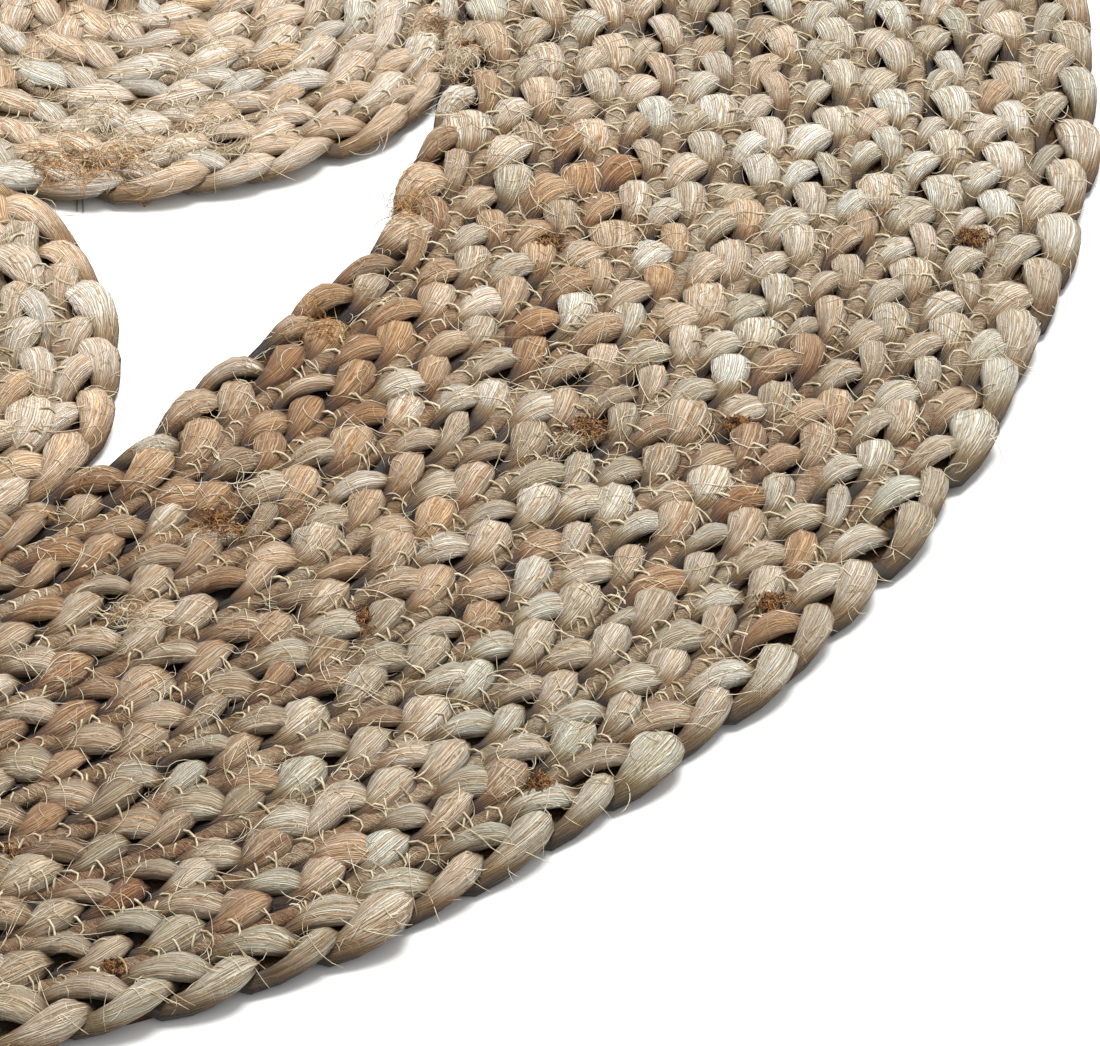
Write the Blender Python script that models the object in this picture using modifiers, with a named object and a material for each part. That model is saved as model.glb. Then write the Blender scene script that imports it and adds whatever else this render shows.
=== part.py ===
"""Round rug of flat jute braid: a ring of braid rows with five sewn-in discs.

The rug lies flat on its underside at z = 0, with the middle of the ring at the origin.
The rim runs a little uneven, and each disc is pressed flat where it is sewn to the ring
and to its two neighbours. The gaps between the discs and the ring are open.
"""
from math import atan2, cos, hypot, pi, radians, sin, sqrt

import bmesh
import bpy

# Driving dimensions, in metres
RUG_DIAMETER = 1.200
BRAID_PITCH = 0.0228          # from one braid row to the next
THICKNESS = 0.0110            # over the crest of a row
GROOVE_DEPTH = 0.0028         # how far the seams lie below the crests
RING_ROWS = 11
DISC_COUNT = 5
DISC_RADIUS = 5.85 * BRAID_PITCH
DISC_OFFSET = 9.90 * BRAID_PITCH   # from the rug's middle to a disc's middle
FIRST_DISC_ANGLE = radians(5.2)
SEAM_GAP = 0.0003             # left between two sewn pieces

# An edge braid bulges a little past its half pitch, and rolls over at top and bottom
EDGE_BULGE = 0.67 * BRAID_PITCH
SHOULDER_INSET = 0.0030
FOOT_HEIGHT = 0.0012
FOOT_INSET = 0.0018

# Unevenness of a hand-sewn rug: shallow dips in the rim, as (middle, depth, reach).
# Opposite deep dips match, so the rug's extents stay centred on its middle.
RIM_DIPS = (
    (radians(-80.0), 0.0115, radians(21.0)),
    (radians(100.0), 0.0115, radians(21.0)),
    (radians(38.0), 0.0035, radians(24.0)),
    (radians(217.0), 0.0040, radians(22.0)),
)
HOLE_SAG = 0.35 * BRAID_PITCH      # the free hole edge bellies in between two discs

RING_STEPS = 72
DISC_STEPS = 34
CORNER_SHARPNESS = 24.0       # higher makes a crisper corner where a disc meets the ring

RIM_RADIUS = RUG_DIAMETER / 2
HOLE_RADIUS = RIM_RADIUS - 2 * EDGE_BULGE - (RING_ROWS - 1) * BRAID_PITCH
DISC_SPACING = 2 * pi / DISC_COUNT

RING_COLOR = (0.45, 0.35, 0.24, 1.0)
DISC_COLOR = (0.55, 0.45, 0.32, 1.0)


def clear_scene():
    """Remove whatever the scene holds."""
    for obj in list(bpy.data.objects):
        bpy.data.objects.remove(obj, do_unlink=True)


def jute_material(name, color):
    """Return a dry, matt plant-fibre material."""
    material = bpy.data.materials.new(name)
    material.use_nodes = True
    shader = material.node_tree.nodes["Principled BSDF"]
    shader.inputs["Base Color"].default_value = color
    shader.inputs["Roughness"].default_value = 0.85
    shader.inputs["Metallic"].default_value = 0.0
    return material


def edge_points(radius, side):
    """Return an edge braid's side from top to bottom; side is +1 outwards, -1 inwards."""
    return [
        (radius - side * SHOULDER_INSET, THICKNESS - GROOVE_DEPTH),
        (radius, THICKNESS / 2),
        (radius, FOOT_HEIGHT),
        (radius - side * FOOT_INSET, 0.0),
    ]


def rib_points(outer_row_radius, rows):
    """Return crests and seams of the rows, from the outermost crest inwards."""
    points = []
    for row in range(rows):
        crest = outer_row_radius - row * BRAID_PITCH
        points.append((crest, THICKNESS))
        if row < rows - 1:
            points.append((crest - BRAID_PITCH / 2, THICKNESS - GROOVE_DEPTH))
    return points


def turned_mesh(name, profile, closed, steps):
    """Turn a profile of (radius, height) points round the Z axis with a Screw modifier."""
    mesh = bpy.data.meshes.new(name + "_profile")
    shape = bmesh.new()
    verts = [shape.verts.new((radius, 0.0, height)) for radius, height in profile]
    for start, end in zip(verts, verts[1:]):
        shape.edges.new((start, end))
    if closed:
        shape.edges.new((verts[-1], verts[0]))
    shape.to_mesh(mesh)
    shape.free()
    blank = bpy.data.objects.new(name + "_blank", mesh)
    bpy.context.scene.collection.objects.link(blank)
    screw = blank.modifiers.new("Turn", "SCREW")
    screw.axis = "Z"
    screw.steps = steps
    screw.render_steps = steps
    screw.use_merge_vertices = True
    screw.merge_threshold = 0.00005
    bpy.context.view_layer.update()
    evaluated = blank.evaluated_get(bpy.context.evaluated_depsgraph_get())
    turned = bpy.data.meshes.new_from_object(evaluated)
    turned.name = name
    bpy.data.objects.remove(blank, do_unlink=True)
    bpy.data.meshes.remove(mesh)
    return turned


def wrapped(angle):
    """Return an angle brought into -pi to pi."""
    return (angle + pi) % (2 * pi) - pi


def bell(angle, middle, reach):
    """Return a smooth bump: 1 at the middle angle, and 0 from its reach on either side."""
    away = min(1.0, abs(wrapped(angle - middle)) / reach)
    return (1 - away * away) ** 2


def rim_shift(angle):
    """Return how far the rim moves outwards at an angle about the rug's middle."""
    return -sum(depth * bell(angle, middle, reach) for middle, depth, reach in RIM_DIPS)


def hole_shift(angle):
    """Return how far the hole edge moves: inwards between discs, not at all on them."""
    free = max(0.0, -cos(DISC_COUNT * (angle - FIRST_DISC_ANGLE)))
    return -HOLE_SAG * free * free


def make_ring_uneven(mesh):
    """Move the ring's points by the unevenness of its rim and of its hole edge.

    The rim's dips fade evenly to the hole, and the hole's sag within its last few rows.
    """
    for vert in mesh.vertices:
        radius = hypot(vert.co.x, vert.co.y)
        angle = atan2(vert.co.y, vert.co.x)
        out = (radius - HOLE_RADIUS) / (RIM_RADIUS - HOLE_RADIUS)
        shift = out * rim_shift(angle) + (1 - out) ** 3 * hole_shift(angle)
        vert.co.x *= (radius + shift) / radius
        vert.co.y *= (radius + shift) / radius


def disc_limit(turn):
    """Return a disc's edge radius at an angle from the line away from the rug's middle.

    The free edge is round. The ring's hole edge and the two neighbours cut it short.
    """
    hole = HOLE_RADIUS * cos(pi / RING_STEPS) - SEAM_GAP
    to_hole = sqrt(hole ** 2 - (DISC_OFFSET * sin(turn)) ** 2) - DISC_OFFSET * cos(turn)
    corner = DISC_RADIUS ** -CORNER_SHARPNESS + to_hole ** -CORNER_SHARPNESS
    limits = [corner ** (-1 / CORNER_SHARPNESS)]
    half_way = DISC_OFFSET * sin(DISC_SPACING / 2) - SEAM_GAP / 2
    for side in (1, -1):
        towards = cos(turn - side * (pi / 2 + DISC_SPACING / 2))
        if towards > 0:
            limits.append(half_way / towards)
    return min(limits)


def press_disc(mesh):
    """Press a round disc in where it is sewn on; its outer rows give way the most.

    The few points round its middle stay where they are.
    """
    for vert in mesh.vertices:
        radius = hypot(vert.co.x, vert.co.y)
        if radius < BRAID_PITCH / 4:
            continue
        give = 1 - disc_limit(atan2(vert.co.y, vert.co.x)) / DISC_RADIUS
        scale = 1 - give * (radius / DISC_RADIUS) ** 2
        vert.co.x *= scale
        vert.co.y *= scale


def place(mesh, name, material, collection):
    """Make an object of a finished mesh and put it in the rug's collection."""
    mesh.materials.clear()
    mesh.materials.append(material)
    mesh.shade_smooth()
    mesh.set_sharp_from_angle(angle=radians(50))
    obj = bpy.data.objects.new(name, mesh)
    collection.objects.link(obj)
    return obj


def outer_ring(collection):
    """Build the ring of braid rows, with its seams as grooves and a flat underside."""
    outer_row = RIM_RADIUS - EDGE_BULGE
    rim_side = edge_points(RIM_RADIUS, 1)
    hole_side = edge_points(HOLE_RADIUS, -1)
    profile = rim_side + hole_side[::-1] + rib_points(outer_row, RING_ROWS)[::-1]
    mesh = turned_mesh("outer_ring", profile, True, RING_STEPS)
    make_ring_uneven(mesh)
    material = jute_material("ring_jute", RING_COLOR)
    return place(mesh, "outer_ring", material, collection)


def disc(number, collection):
    """Build one disc of spiral braid and turn it to its place in the ring's hole."""
    name = f"disc_{number + 1}"
    outer_row = DISC_RADIUS - EDGE_BULGE
    rows = int(outer_row / BRAID_PITCH) + 1
    top = rib_points(outer_row, rows)
    profile = [(0.0, THICKNESS - GROOVE_DEPTH)] + top[::-1] + edge_points(DISC_RADIUS, 1) + [(0.0, 0.0)]
    mesh = turned_mesh(name, profile, False, DISC_STEPS)
    press_disc(mesh)
    obj = place(mesh, name, jute_material(name + "_jute", DISC_COLOR), collection)
    angle = FIRST_DISC_ANGLE - number * DISC_SPACING
    obj.location = (DISC_OFFSET * cos(angle), DISC_OFFSET * sin(angle), 0.0)
    obj.rotation_euler = (0.0, 0.0, angle)
    return obj


def main():
    """Build the rug: the ring first, then the discs round its hole."""
    clear_scene()
    rug = bpy.data.collections.new("round_jute_rug")
    bpy.context.scene.collection.children.link(rug)
    outer_ring(rug)
    for number in range(DISC_COUNT):
        disc(number, rug)


main()
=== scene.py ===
"""Looks of a round jute rug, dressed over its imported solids.

The rug is a wide ring of flat three-strand braid rows with five spiral discs of the same
braid sewn into its hole. Every strand is a modelled tube that runs over and under the
other two, zigzag thread lies across the seams, and loose fibres and felted tufts lie on top.
"""
from __future__ import annotations

import logging
import math
from collections.abc import Callable, Sequence
from dataclasses import dataclass, field
from enum import Enum
from functools import partial

import bpy
import numpy as np
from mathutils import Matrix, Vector
from mathutils.bvhtree import BVHTree


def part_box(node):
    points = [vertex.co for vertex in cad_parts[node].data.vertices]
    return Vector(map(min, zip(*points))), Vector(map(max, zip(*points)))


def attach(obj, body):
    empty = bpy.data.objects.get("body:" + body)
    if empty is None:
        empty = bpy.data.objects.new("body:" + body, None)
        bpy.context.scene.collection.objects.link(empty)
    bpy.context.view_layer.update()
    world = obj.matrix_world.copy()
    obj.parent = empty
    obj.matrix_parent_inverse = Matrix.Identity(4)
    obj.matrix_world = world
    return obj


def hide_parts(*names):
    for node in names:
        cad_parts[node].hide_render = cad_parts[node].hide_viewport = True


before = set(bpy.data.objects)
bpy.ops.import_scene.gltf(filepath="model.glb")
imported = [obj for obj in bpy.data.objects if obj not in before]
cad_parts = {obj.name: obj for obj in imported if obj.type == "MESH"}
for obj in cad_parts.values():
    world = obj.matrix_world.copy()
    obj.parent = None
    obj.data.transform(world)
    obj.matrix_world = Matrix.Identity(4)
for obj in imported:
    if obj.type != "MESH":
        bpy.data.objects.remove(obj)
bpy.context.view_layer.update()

LOG = logging.getLogger("jute_rug")

BODY = "root"
MM = 0.001
UP = (0.0, 0.0, 1.0)
STITCHING_SEED = 5
FIBRE_SEED = 7
TUFT_SEED = 9

Array = np.ndarray
Material = bpy.types.Material
Object = bpy.types.Object
Tree = bpy.types.NodeTree
Socket = bpy.types.NodeSocket
# Adds a node to a certain tree
Adder = Callable[..., bpy.types.Node]
Range = tuple[float, float]
Place = tuple[float, float, float]
# Places from 0 to 1 with sRGB hex colours, in order
Stops = Sequence[tuple[float, str]]
# Rows of a bump's middle angle, its height in metres and its reach, both angles in degrees
Bumps = Sequence[Place]
# Rows that place a line's points
Shape = Sequence[Place]
# Values of a strand's shape at each of its steps round half a wave
Steps = tuple[float, ...]


def full_turn(count: int) -> Array:
    """Even angles round a whole turn."""
    return np.linspace(0, 2 * math.pi, count, endpoint=False)


def rays(angle: Array) -> Array:
    """Unit vectors on the plane at some angles."""
    return np.column_stack([np.cos(angle), np.sin(angle)])


def eased(part: Array) -> Array:
    """Ease a share from 0 to 1, flat at both ends."""
    return part * part * (3 - 2 * part)


def add_object(name: str, data: bpy.types.ID) -> Object:
    """Link a mesh, a light or a camera to the scene.

    Args:
        name: The object's name.
        data: What it shows.

    Returns:
        The object.
    """
    obj = bpy.data.objects.new(name, data)
    bpy.context.scene.collection.objects.link(obj)
    return obj


def add_mesh(
    name: str, points: Array, faces: Sequence[Sequence[int]], material: Material
) -> Object:
    """Make a mesh object of one finish.

    Args:
        name: The name of the mesh and of its object.
        points: Its points, of shape (points, 3).
        faces: The points of each face.
        material: Its finish.

    Returns:
        The object, linked to the scene.
    """
    mesh = bpy.data.meshes.new(name)
    mesh.from_pydata(points.tolist(), [], faces)
    mesh.materials.append(material)
    LOG.info("%s: %d triangles", name, sum(len(face) - 2 for face in faces))
    return add_object(name, mesh)


# ---- sizes and layout


@dataclass(frozen=True)
class Gauge:
    """Real sizes of the jute braid, in metres, and a strand's shares of them."""

    pitch: float
    thickness: float
    pitches_across: float = 52.63     # braid pitches across the rug, counted in the photograph
    lobe_pitches: float = 1.16        # from lobe to lobe on one side of a row
    width_share: float = 0.250        # shares of the pitch and, for depth and lift, of the
    depth_share: float = 0.282        # rug's thickness
    sway_share: float = 0.312
    lift_share: float = 0.265
    deep_share: float = 0.25          # up to this share of the thickness all is in shade
    open_share: float = 0.7           # and this much higher all is open to the light

    @property
    def lobe_spacing(self) -> float:
        """Distance along a row between two lobes on the same side."""
        return self.lobe_pitches * self.pitch

    @property
    def half_width(self) -> float:
        """Half the width of a strand where it is widest."""
        return self.width_share * self.pitch

    @property
    def half_depth(self) -> float:
        """Half the thickness of a strand."""
        return self.depth_share * self.thickness

    @property
    def sway(self) -> float:
        """How far a strand's middle swings from the row's middle."""
        return self.sway_share * self.pitch

    @property
    def lift(self) -> float:
        """How far a strand's middle rises and dips."""
        return self.lift_share * self.thickness

    def height_share(self, rings: Array) -> Array:
        """How high points lie: 0 deep between the strands, 1 near the top.

        Args:
            rings: Points of shape (rings, corners, 3).

        Returns:
            A share for each point.
        """
        share = rings[:, :, 2] / self.thickness
        return np.clip((share - self.deep_share) / self.open_share, 0, 1)


@dataclass(frozen=True)
class Layout:
    """Where the rug's pieces lie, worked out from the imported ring's box."""

    rim_radius: float
    thickness: float

    ring_rows: int = 11
    discs: int = 5
    edge_bulge: float = 0.67          # from a free edge to its row's middle, in braid pitches
    disc_pitches: float = 5.85        # a disc's even radius
    offset_pitches: float = 9.90      # from the rug's middle to a disc's middle
    first_disc: float = math.radians(5.2)
    corner_sharpness: float = 16.0    # higher makes a crisper corner where disc meets ring
    # How far a disc falls short of its even radius: at its free edge, where it meets the
    # next disc and where it is sewn to the ring. The last two are places with a reach.
    disc_trims_mm: tuple[float, ...] = (11.5, 5.5, 6.0, 8.0, 5.0)
    meeting_trim_mm: float = 0.5
    meeting: float = math.radians(44)
    joint_trim_mm: float = -5.0
    joint: float = math.radians(70)
    joint_bite_mm: float = 3.0        # how far a disc is pressed in under the ring's edge lobes
    hole_closer_mm: float = 2.0       # the hole edge lies further in than its rows' share
    hole_sag: float = 0.35            # how far it bellies in between two discs, in pitches
    hole_wobbles: Bumps = (
        (-40.5, -0.0090, 6.5),
        (-23.5, 0.0060, 7.0),
        (-17.2, -0.0030, 3.5),
        (-9.0, -0.0025, 5.0),
        (-102.0, -0.0040, 7.0),
        (-170.0, 0.0040, 8.0),
        (112.0, -0.0050, 7.0),
        (46.0, 0.0040, 9.0),
    )
    rim_dips: Bumps = (
        (-80.0, 0.0115, 21.0),
        (100.0, 0.0115, 21.0),
        (38.0, 0.0035, 24.0),
        (217.0, 0.0040, 22.0),
    )

    @classmethod
    def from_frame(cls) -> Layout:
        """Read the ring's size from the frame.

        Returns:
            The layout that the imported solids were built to.
        """
        low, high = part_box("outer_ring")
        return cls(rim_radius=(high[0] - low[0]) / 2, thickness=high[2] - low[2])

    @property
    def gauge(self) -> Gauge:
        """The braid's sizes."""
        return Gauge(2 * self.rim_radius / Gauge.pitches_across, self.thickness)

    @property
    def hole_radius(self) -> float:
        """Radius of the ring's hole where the discs are sewn on."""
        pitches = 2 * self.edge_bulge + self.ring_rows - 1
        return self.rim_radius - pitches * self.gauge.pitch

    def disc_radius(self, number: int, turn: Array) -> Array:
        """Radius that a disc's rows share out: wider where something is sewn to it.

        Args:
            number: The disc.
            turn: Angles from the line away from the rug's middle.

        Returns:
            The radius at each angle.
        """
        beside = math.pi / 2 + math.pi / self.discs
        meeting = self._bell(turn, beside, self.meeting) + self._bell(turn, -beside, self.meeting)
        joint = self._bell(turn, 0.0, self.joint)
        trim = self.disc_trims_mm[number] * (1 - meeting - joint)
        trim += self.meeting_trim_mm * meeting + self.joint_trim_mm * joint
        return self.disc_pitches * self.gauge.pitch - trim * MM

    @property
    def disc_offset(self) -> float:
        """Distance from the rug's middle to a disc's middle."""
        return self.offset_pitches * self.gauge.pitch

    def disc_angle(self, number: int) -> float:
        """Direction of a disc's middle from the rug's middle."""
        return self.first_disc - number * 2 * math.pi / self.discs

    def disc_middle(self, number: int) -> Array:
        """Place of a disc's middle."""
        angle = self.disc_angle(number)
        return self.disc_offset * np.array([math.cos(angle), math.sin(angle)])

    def rim_shift(self, angle: Array) -> Array:
        """How far the rim moves outwards at an angle about the rug's middle."""
        return -self._bumps(angle, self.rim_dips)

    @staticmethod
    def _bell(angle: Array, middle: float, reach: float) -> Array:
        """Rise smoothly from 0 at a reach away from an angle to 1 at that angle.

        Args:
            angle: Angles about a middle.
            middle: Where the bell is.
            reach: Half its width.

        Returns:
            The rise at each angle.
        """
        away = np.abs((angle - middle + math.pi) % (2 * math.pi) - math.pi) / reach
        return (1 - np.minimum(away, 1.0) ** 2) ** 2

    def _bumps(self, angle: Array, bumps: Bumps) -> Array:
        """Add up bumps at some angles about the rug's middle."""
        total = np.zeros_like(angle)
        for middle, height, reach in bumps:
            total += height * self._bell(angle, math.radians(middle), math.radians(reach))
        return total

    def hole_shift(self, angle: Array) -> Array:
        """How far the hole edge moves outwards: it bellies in between two discs."""
        free = np.maximum(0.0, -np.cos(self.discs * (angle - self.first_disc)))
        sag = -self.hole_sag * self.gauge.pitch * free ** 2 - self.hole_closer_mm * MM
        return sag + self._bumps(angle, self.hole_wobbles)

    def ring_radius(self, even_radius: float, angle: Array) -> Array:
        """Give an even radius in the ring its unevenness.

        Args:
            even_radius: Radius in a perfectly round ring.
            angle: Angles about the rug's middle.

        Returns:
            The radius at each angle.
        """
        out = (even_radius - self.hole_radius) / (self.rim_radius - self.hole_radius)
        uneven = out * self.rim_shift(angle) + (1 - out) ** 3 * self.hole_shift(angle)
        return even_radius + uneven

    def disc_limit(self, number: int, turn: Array) -> Array:
        """Edge radius of a disc, pressed in by the ring and by its two neighbours.

        Args:
            number: The disc.
            turn: Angles from the line away from the rug's middle.

        Returns:
            The disc's edge radius at each angle.
        """
        reach = self.disc_offset
        hole = self.hole_radius + self.joint_bite_mm * MM
        to_hole = np.sqrt(hole ** 2 - (reach * np.sin(turn)) ** 2) - reach * np.cos(turn)
        power = -self.corner_sharpness
        limit = (self.disc_radius(number, turn) ** power + to_hole ** power) ** (1 / power)
        half_way = reach * math.sin(math.pi / self.discs)
        for side in (1, -1):
            towards = np.cos(turn - side * (math.pi / 2 + math.pi / self.discs))
            limit = np.minimum(limit, half_way / np.maximum(towards, 0.01))
        return limit


# ---- colours and finishes

# Numbers of the sockets whose names aren't unique: the Mix node's colours and its result, and
# the limits of the Map Range node
MIX_BELOW, MIX_ABOVE, MIX_RESULT = 6, 7, 2
FROM_MIN, FROM_MAX, TO_MIN, TO_MAX = 1, 2, 3, 4


def linear(hex_color: str) -> tuple[float, float, float, float]:
    """Turn an sRGB hex colour to linear values.

    Args:
        hex_color: A colour such as "#c9b79c".

    Returns:
        Linear red, green, blue and an alpha of 1.
    """
    parts = [int(hex_color[i:i + 2], 16) / 255 for i in (1, 3, 5)]
    low = [p / 12.92 if p <= 0.04045 else ((p + 0.055) / 1.055) ** 2.4 for p in parts]
    return (low[0], low[1], low[2], 1.0)


def add_node(
    tree: Tree,
    kind: str,
    settings: dict | None = None,
    values: dict | None = None,
    links: dict | None = None,
    stops: Stops = (),
) -> bpy.types.Node:
    """Add a node with its settings, its fixed input values and its incoming links.

    Args:
        tree: The node tree it goes in.
        kind: The shader node's kind.
        settings: Node properties by name.
        values: Fixed input values by socket name or number.
        links: Output sockets to link, by input socket name or number.
        stops: A colour ramp's stops.

    Returns:
        The new node.
    """
    node = tree.nodes.new("ShaderNode" + kind)
    for name, value in (settings or {}).items():
        setattr(node, name, value)
    for name, value in (values or {}).items():
        node.inputs[name].default_value = value
    for name, socket in (links or {}).items():
        tree.links.new(socket, node.inputs[name])
    if stops:
        elements = node.color_ramp.elements
        while len(elements) < len(stops):
            elements.new(0.5)
        for element, (place, color) in zip(elements, stops):
            element.position, element.color = place, linear(color)
    return node


def start_material(name: str, values: dict) -> tuple[Material, Tree, bpy.types.Node]:
    """Start a node material.

    Args:
        name: Its name.
        values: Fixed values of its shader's inputs by name.

    Returns:
        The material, its node tree and its shader.
    """
    material = bpy.data.materials.new(name)
    material.use_nodes = True
    shader = material.node_tree.nodes["Principled BSDF"]
    for socket, value in values.items():
        shader.inputs[socket].default_value = value
    return material, material.node_tree, shader


class Fact(Enum):
    """Per-point values that the strands carry for their material."""

    FIBRE = "fibre"        # place in the strand as if it lay straight, in metres
    TONE = "tone"          # how light the lobe's jute is, 0 to 1, with painted highlight and shade along the braid's lobes
    TINT = "tint"          # greenish grey at 0, warm straw at 0.5, rust at 1
    HEIGHT = "height"      # 0 down in the braid, 1 on the crests; lower values paint in shade


@dataclass(frozen=True)
class JuteFinish:
    """Dry retted jute, hand drawn into loose strands.

    Flat bundles of straw-coloured fibre lie along each strand, with painted shade between
    them. The crests are pale, and painted shade turns the jute golden brown down in the seams.
    """

    name: str = "jute_strand"
    # Sizes of the patterns along and across a strand, which break its surface up into bundles
    # of fibre as the eye sees them
    part_mm: float = 3.6           # width of a lighter or darker part of a strand
    part_length_mm: float = 60.0
    bundle_mm: float = 0.66        # width of a bundle of fibres
    bundle_length_mm: float = 32.0
    fine_mm: float = 0.38          # real fibres are 0.1 mm; drawn coarser so that they show
    fine_length_mm: float = 16.0
    relief_mm: float = 1.3
    bundle_relief: float = 0.55    # heights of a bundle and of a hair, where a fibre's is 1
    hair_relief: float = 0.5
    bundle_round: float = 0.28     # a bundle rises up to this far from its crease
    wander: float = 0.9            # how far a bundle wanders sideways, in bundles
    wander_scale: float = 0.7      # and how quickly, in waves for each bundle's length
    hair: str = "#eadfc6"
    hair_mm: float = 0.30          # half width; real hairs are finer and wouldn't show
    # Length of a layer's hairs in millimetres, and what moves its pattern
    hair_layers: tuple[Range, ...] = ((7.0, 0.0), (9.0, 3.7), (12.0, 8.1), (16.0, 5.2))
    hair_bow: float = 0.7          # how much it bends, and where in its cell it lies
    hair_aside: float = -0.05
    hair_ends: Range = (0.08, 0.16)        # it fades out where its bow is this large
    # The hairs are thicker in some stretches: a stretch's length, the noise values between
    # which it thickens, and how well the hairs cover there
    stretch_mm: float = 1000 / 22
    thickening: Range = (0.38, 0.68)
    cover: Range = (0.10, 0.62)
    roughness: float = 0.7         # dry fibre: a dull, broad shine
    ior: float = 1.5               # cellulose
    specular: float = 0.4
    sheen: float = 0.10            # loose hairs brighten the sides a little
    sheen_roughness: float = 0.45
    # How much a bundle, a wider part of the strand and a single fibre vary the tone, and
    # a bundle the tint
    bundle_tone: float = 0.26
    part_tone: float = 0.46
    fine_tone: float = 0.98
    bundle_tint: float = 0.3
    # Painted shade between the bundles and between the lobes, from deep to open
    crease_shade: Stops = ((0.0, "#a58c72"), (0.04, "#d5c7b2"), (0.09, "#ffffff"))
    crevice_shade: Stops = (
        (0.0, "#1a1008"),
        (0.26, "#4f3a26"),
        (0.54, "#b8a380"),
        (0.80, "#ffffff"),
    )
    tones: Stops = (
        (0.00, "#5f4028"),
        (0.14, "#8f6d4c"),
        (0.32, "#ad9376"),
        (0.50, "#c2b19a"),
        (0.68, "#d5cab8"),
        (0.84, "#e6dfd4"),
        (1.00, "#f5f2ec"),
    )
    # Greenish grey, neutral straw, warm straw, golden brown and rust
    tints: Stops = (
        (0.00, "#e6eae0"),
        (0.30, "#fbfcf7"),
        (0.52, "#fff9f2"),
        (0.78, "#fde3c8"),
        (1.00, "#f0cb9e"),
    )

    def build(self) -> Material:
        """Make the material.

        Returns:
            A node material that reads the strands' per-point facts.
        """
        material, tree, shader = start_material(self.name, {
            "Roughness": self.roughness,
            "IOR": self.ior,
            "Specular IOR Level": self.specular,
            "Sheen Weight": self.sheen,
            "Sheen Roughness": self.sheen_roughness,
        })
        add = partial(add_node, tree)
        bundle_at = self._waved(add, self._pulled(add, self.bundle_mm, self.bundle_length_mm))
        cell = add("TexVoronoi", None, {"Scale": 1.0}, {"Vector": bundle_at})
        crease = add(
            "TexVoronoi", {"feature": "DISTANCE_TO_EDGE"}, {"Scale": 1.0}, {"Vector": bundle_at}
        ).outputs["Distance"]
        fine_at = self._pulled(add, self.fine_mm, self.fine_length_mm)
        fine = add(
            "TexNoise", None, {"Scale": 1.0, "Detail": 3.0, "Roughness": 0.65}, {"Vector": fine_at}
        ).outputs["Fac"]
        fuzz = self._fuzz(add)

        one = add("SeparateColor", None, None, {0: cell.outputs["Color"]})
        tone = self._fact(add, Fact.TONE).outputs["Fac"]
        tone = self._varied(add, tone, one.outputs[0], self.bundle_tone)
        part_at = self._pulled(add, self.part_mm, self.part_length_mm)
        part = add(
            "TexNoise", None, {"Scale": 1.0, "Detail": 1.0}, {"Vector": part_at}
        ).outputs["Fac"]
        tone = self._varied(add, tone, part, self.part_tone)
        tone = self._varied(add, tone, fine, self.fine_tone)
        color = add("ValToRGB", None, None, {"Fac": tone}, self.tones)

        tint = self._fact(add, Fact.TINT).outputs["Fac"]
        tint = self._varied(add, tint, one.outputs[1], self.bundle_tint)
        tint = add("ValToRGB", None, None, {"Fac": tint}, self.tints)
        final = self._shaded(add, color.outputs["Color"], tint.outputs["Color"])

        # Painted shade along the edges of the bundles
        crease_shade_ramp = add("ValToRGB", None, None, {"Fac": crease}, self.crease_shade)
        final = self._shaded(add, final, crease_shade_ramp.outputs["Color"])

        final = add(
            "Mix",
            {"data_type": "RGBA"},
            {MIX_ABOVE: linear(self.hair)},
            {0: fuzz, MIX_BELOW: final},
        ).outputs[MIX_RESULT]

        # Painted shade: the lower a point lies between the lobes, the darker
        height = self._fact(add, Fact.HEIGHT).outputs["Fac"]
        shade = add("ValToRGB", None, None, {"Fac": height}, self.crevice_shade)
        final = self._shaded(add, final, shade.outputs["Color"])
        tree.links.new(final, shader.inputs["Base Color"])

        limits = {FROM_MAX: self.bundle_round, TO_MAX: self.bundle_relief}
        round_top = add("MapRange", None, limits, {0: crease})
        relief = self._added(add, round_top.outputs[0], fine, 1.0, 0.0)
        relief = self._added(add, relief, fuzz, self.hair_relief, 0.0)
        bump = add(
            "Bump", None, {"Strength": 1.0, "Distance": self.relief_mm * MM}, {"Height": relief}
        )
        tree.links.new(bump.outputs["Normal"], shader.inputs["Normal"])
        return material

    def _fuzz(self, add: Adder) -> Socket:
        """Draw fine loose hairs that lie across the strands, thicker in some stretches.

        Returns:
            1 on a hair and 0 beside it.
        """
        place = add("TexCoord").outputs["Object"]
        pattern = {"Scale": 1 / (self.stretch_mm * MM), "Detail": 2.0}
        stretch = add("TexNoise", None, pattern, {"Vector": place}).outputs["Fac"]
        limits = zip((FROM_MIN, FROM_MAX, TO_MIN, TO_MAX), (*self.thickening, *self.cover))
        thick = add("MapRange", None, dict(limits), {0: stretch}).outputs[0]
        total = None
        for length_mm, shift in self.hair_layers:
            layer = self._hairs(add, place, length_mm, shift)
            if total is None:
                total = layer
            else:
                total = add("Math", {"operation": "MAXIMUM"}, None, {0: total, 1: layer}).outputs[0]
        return add("Math", {"operation": "MULTIPLY"}, None, {0: total, 1: thick}).outputs[0]

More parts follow.
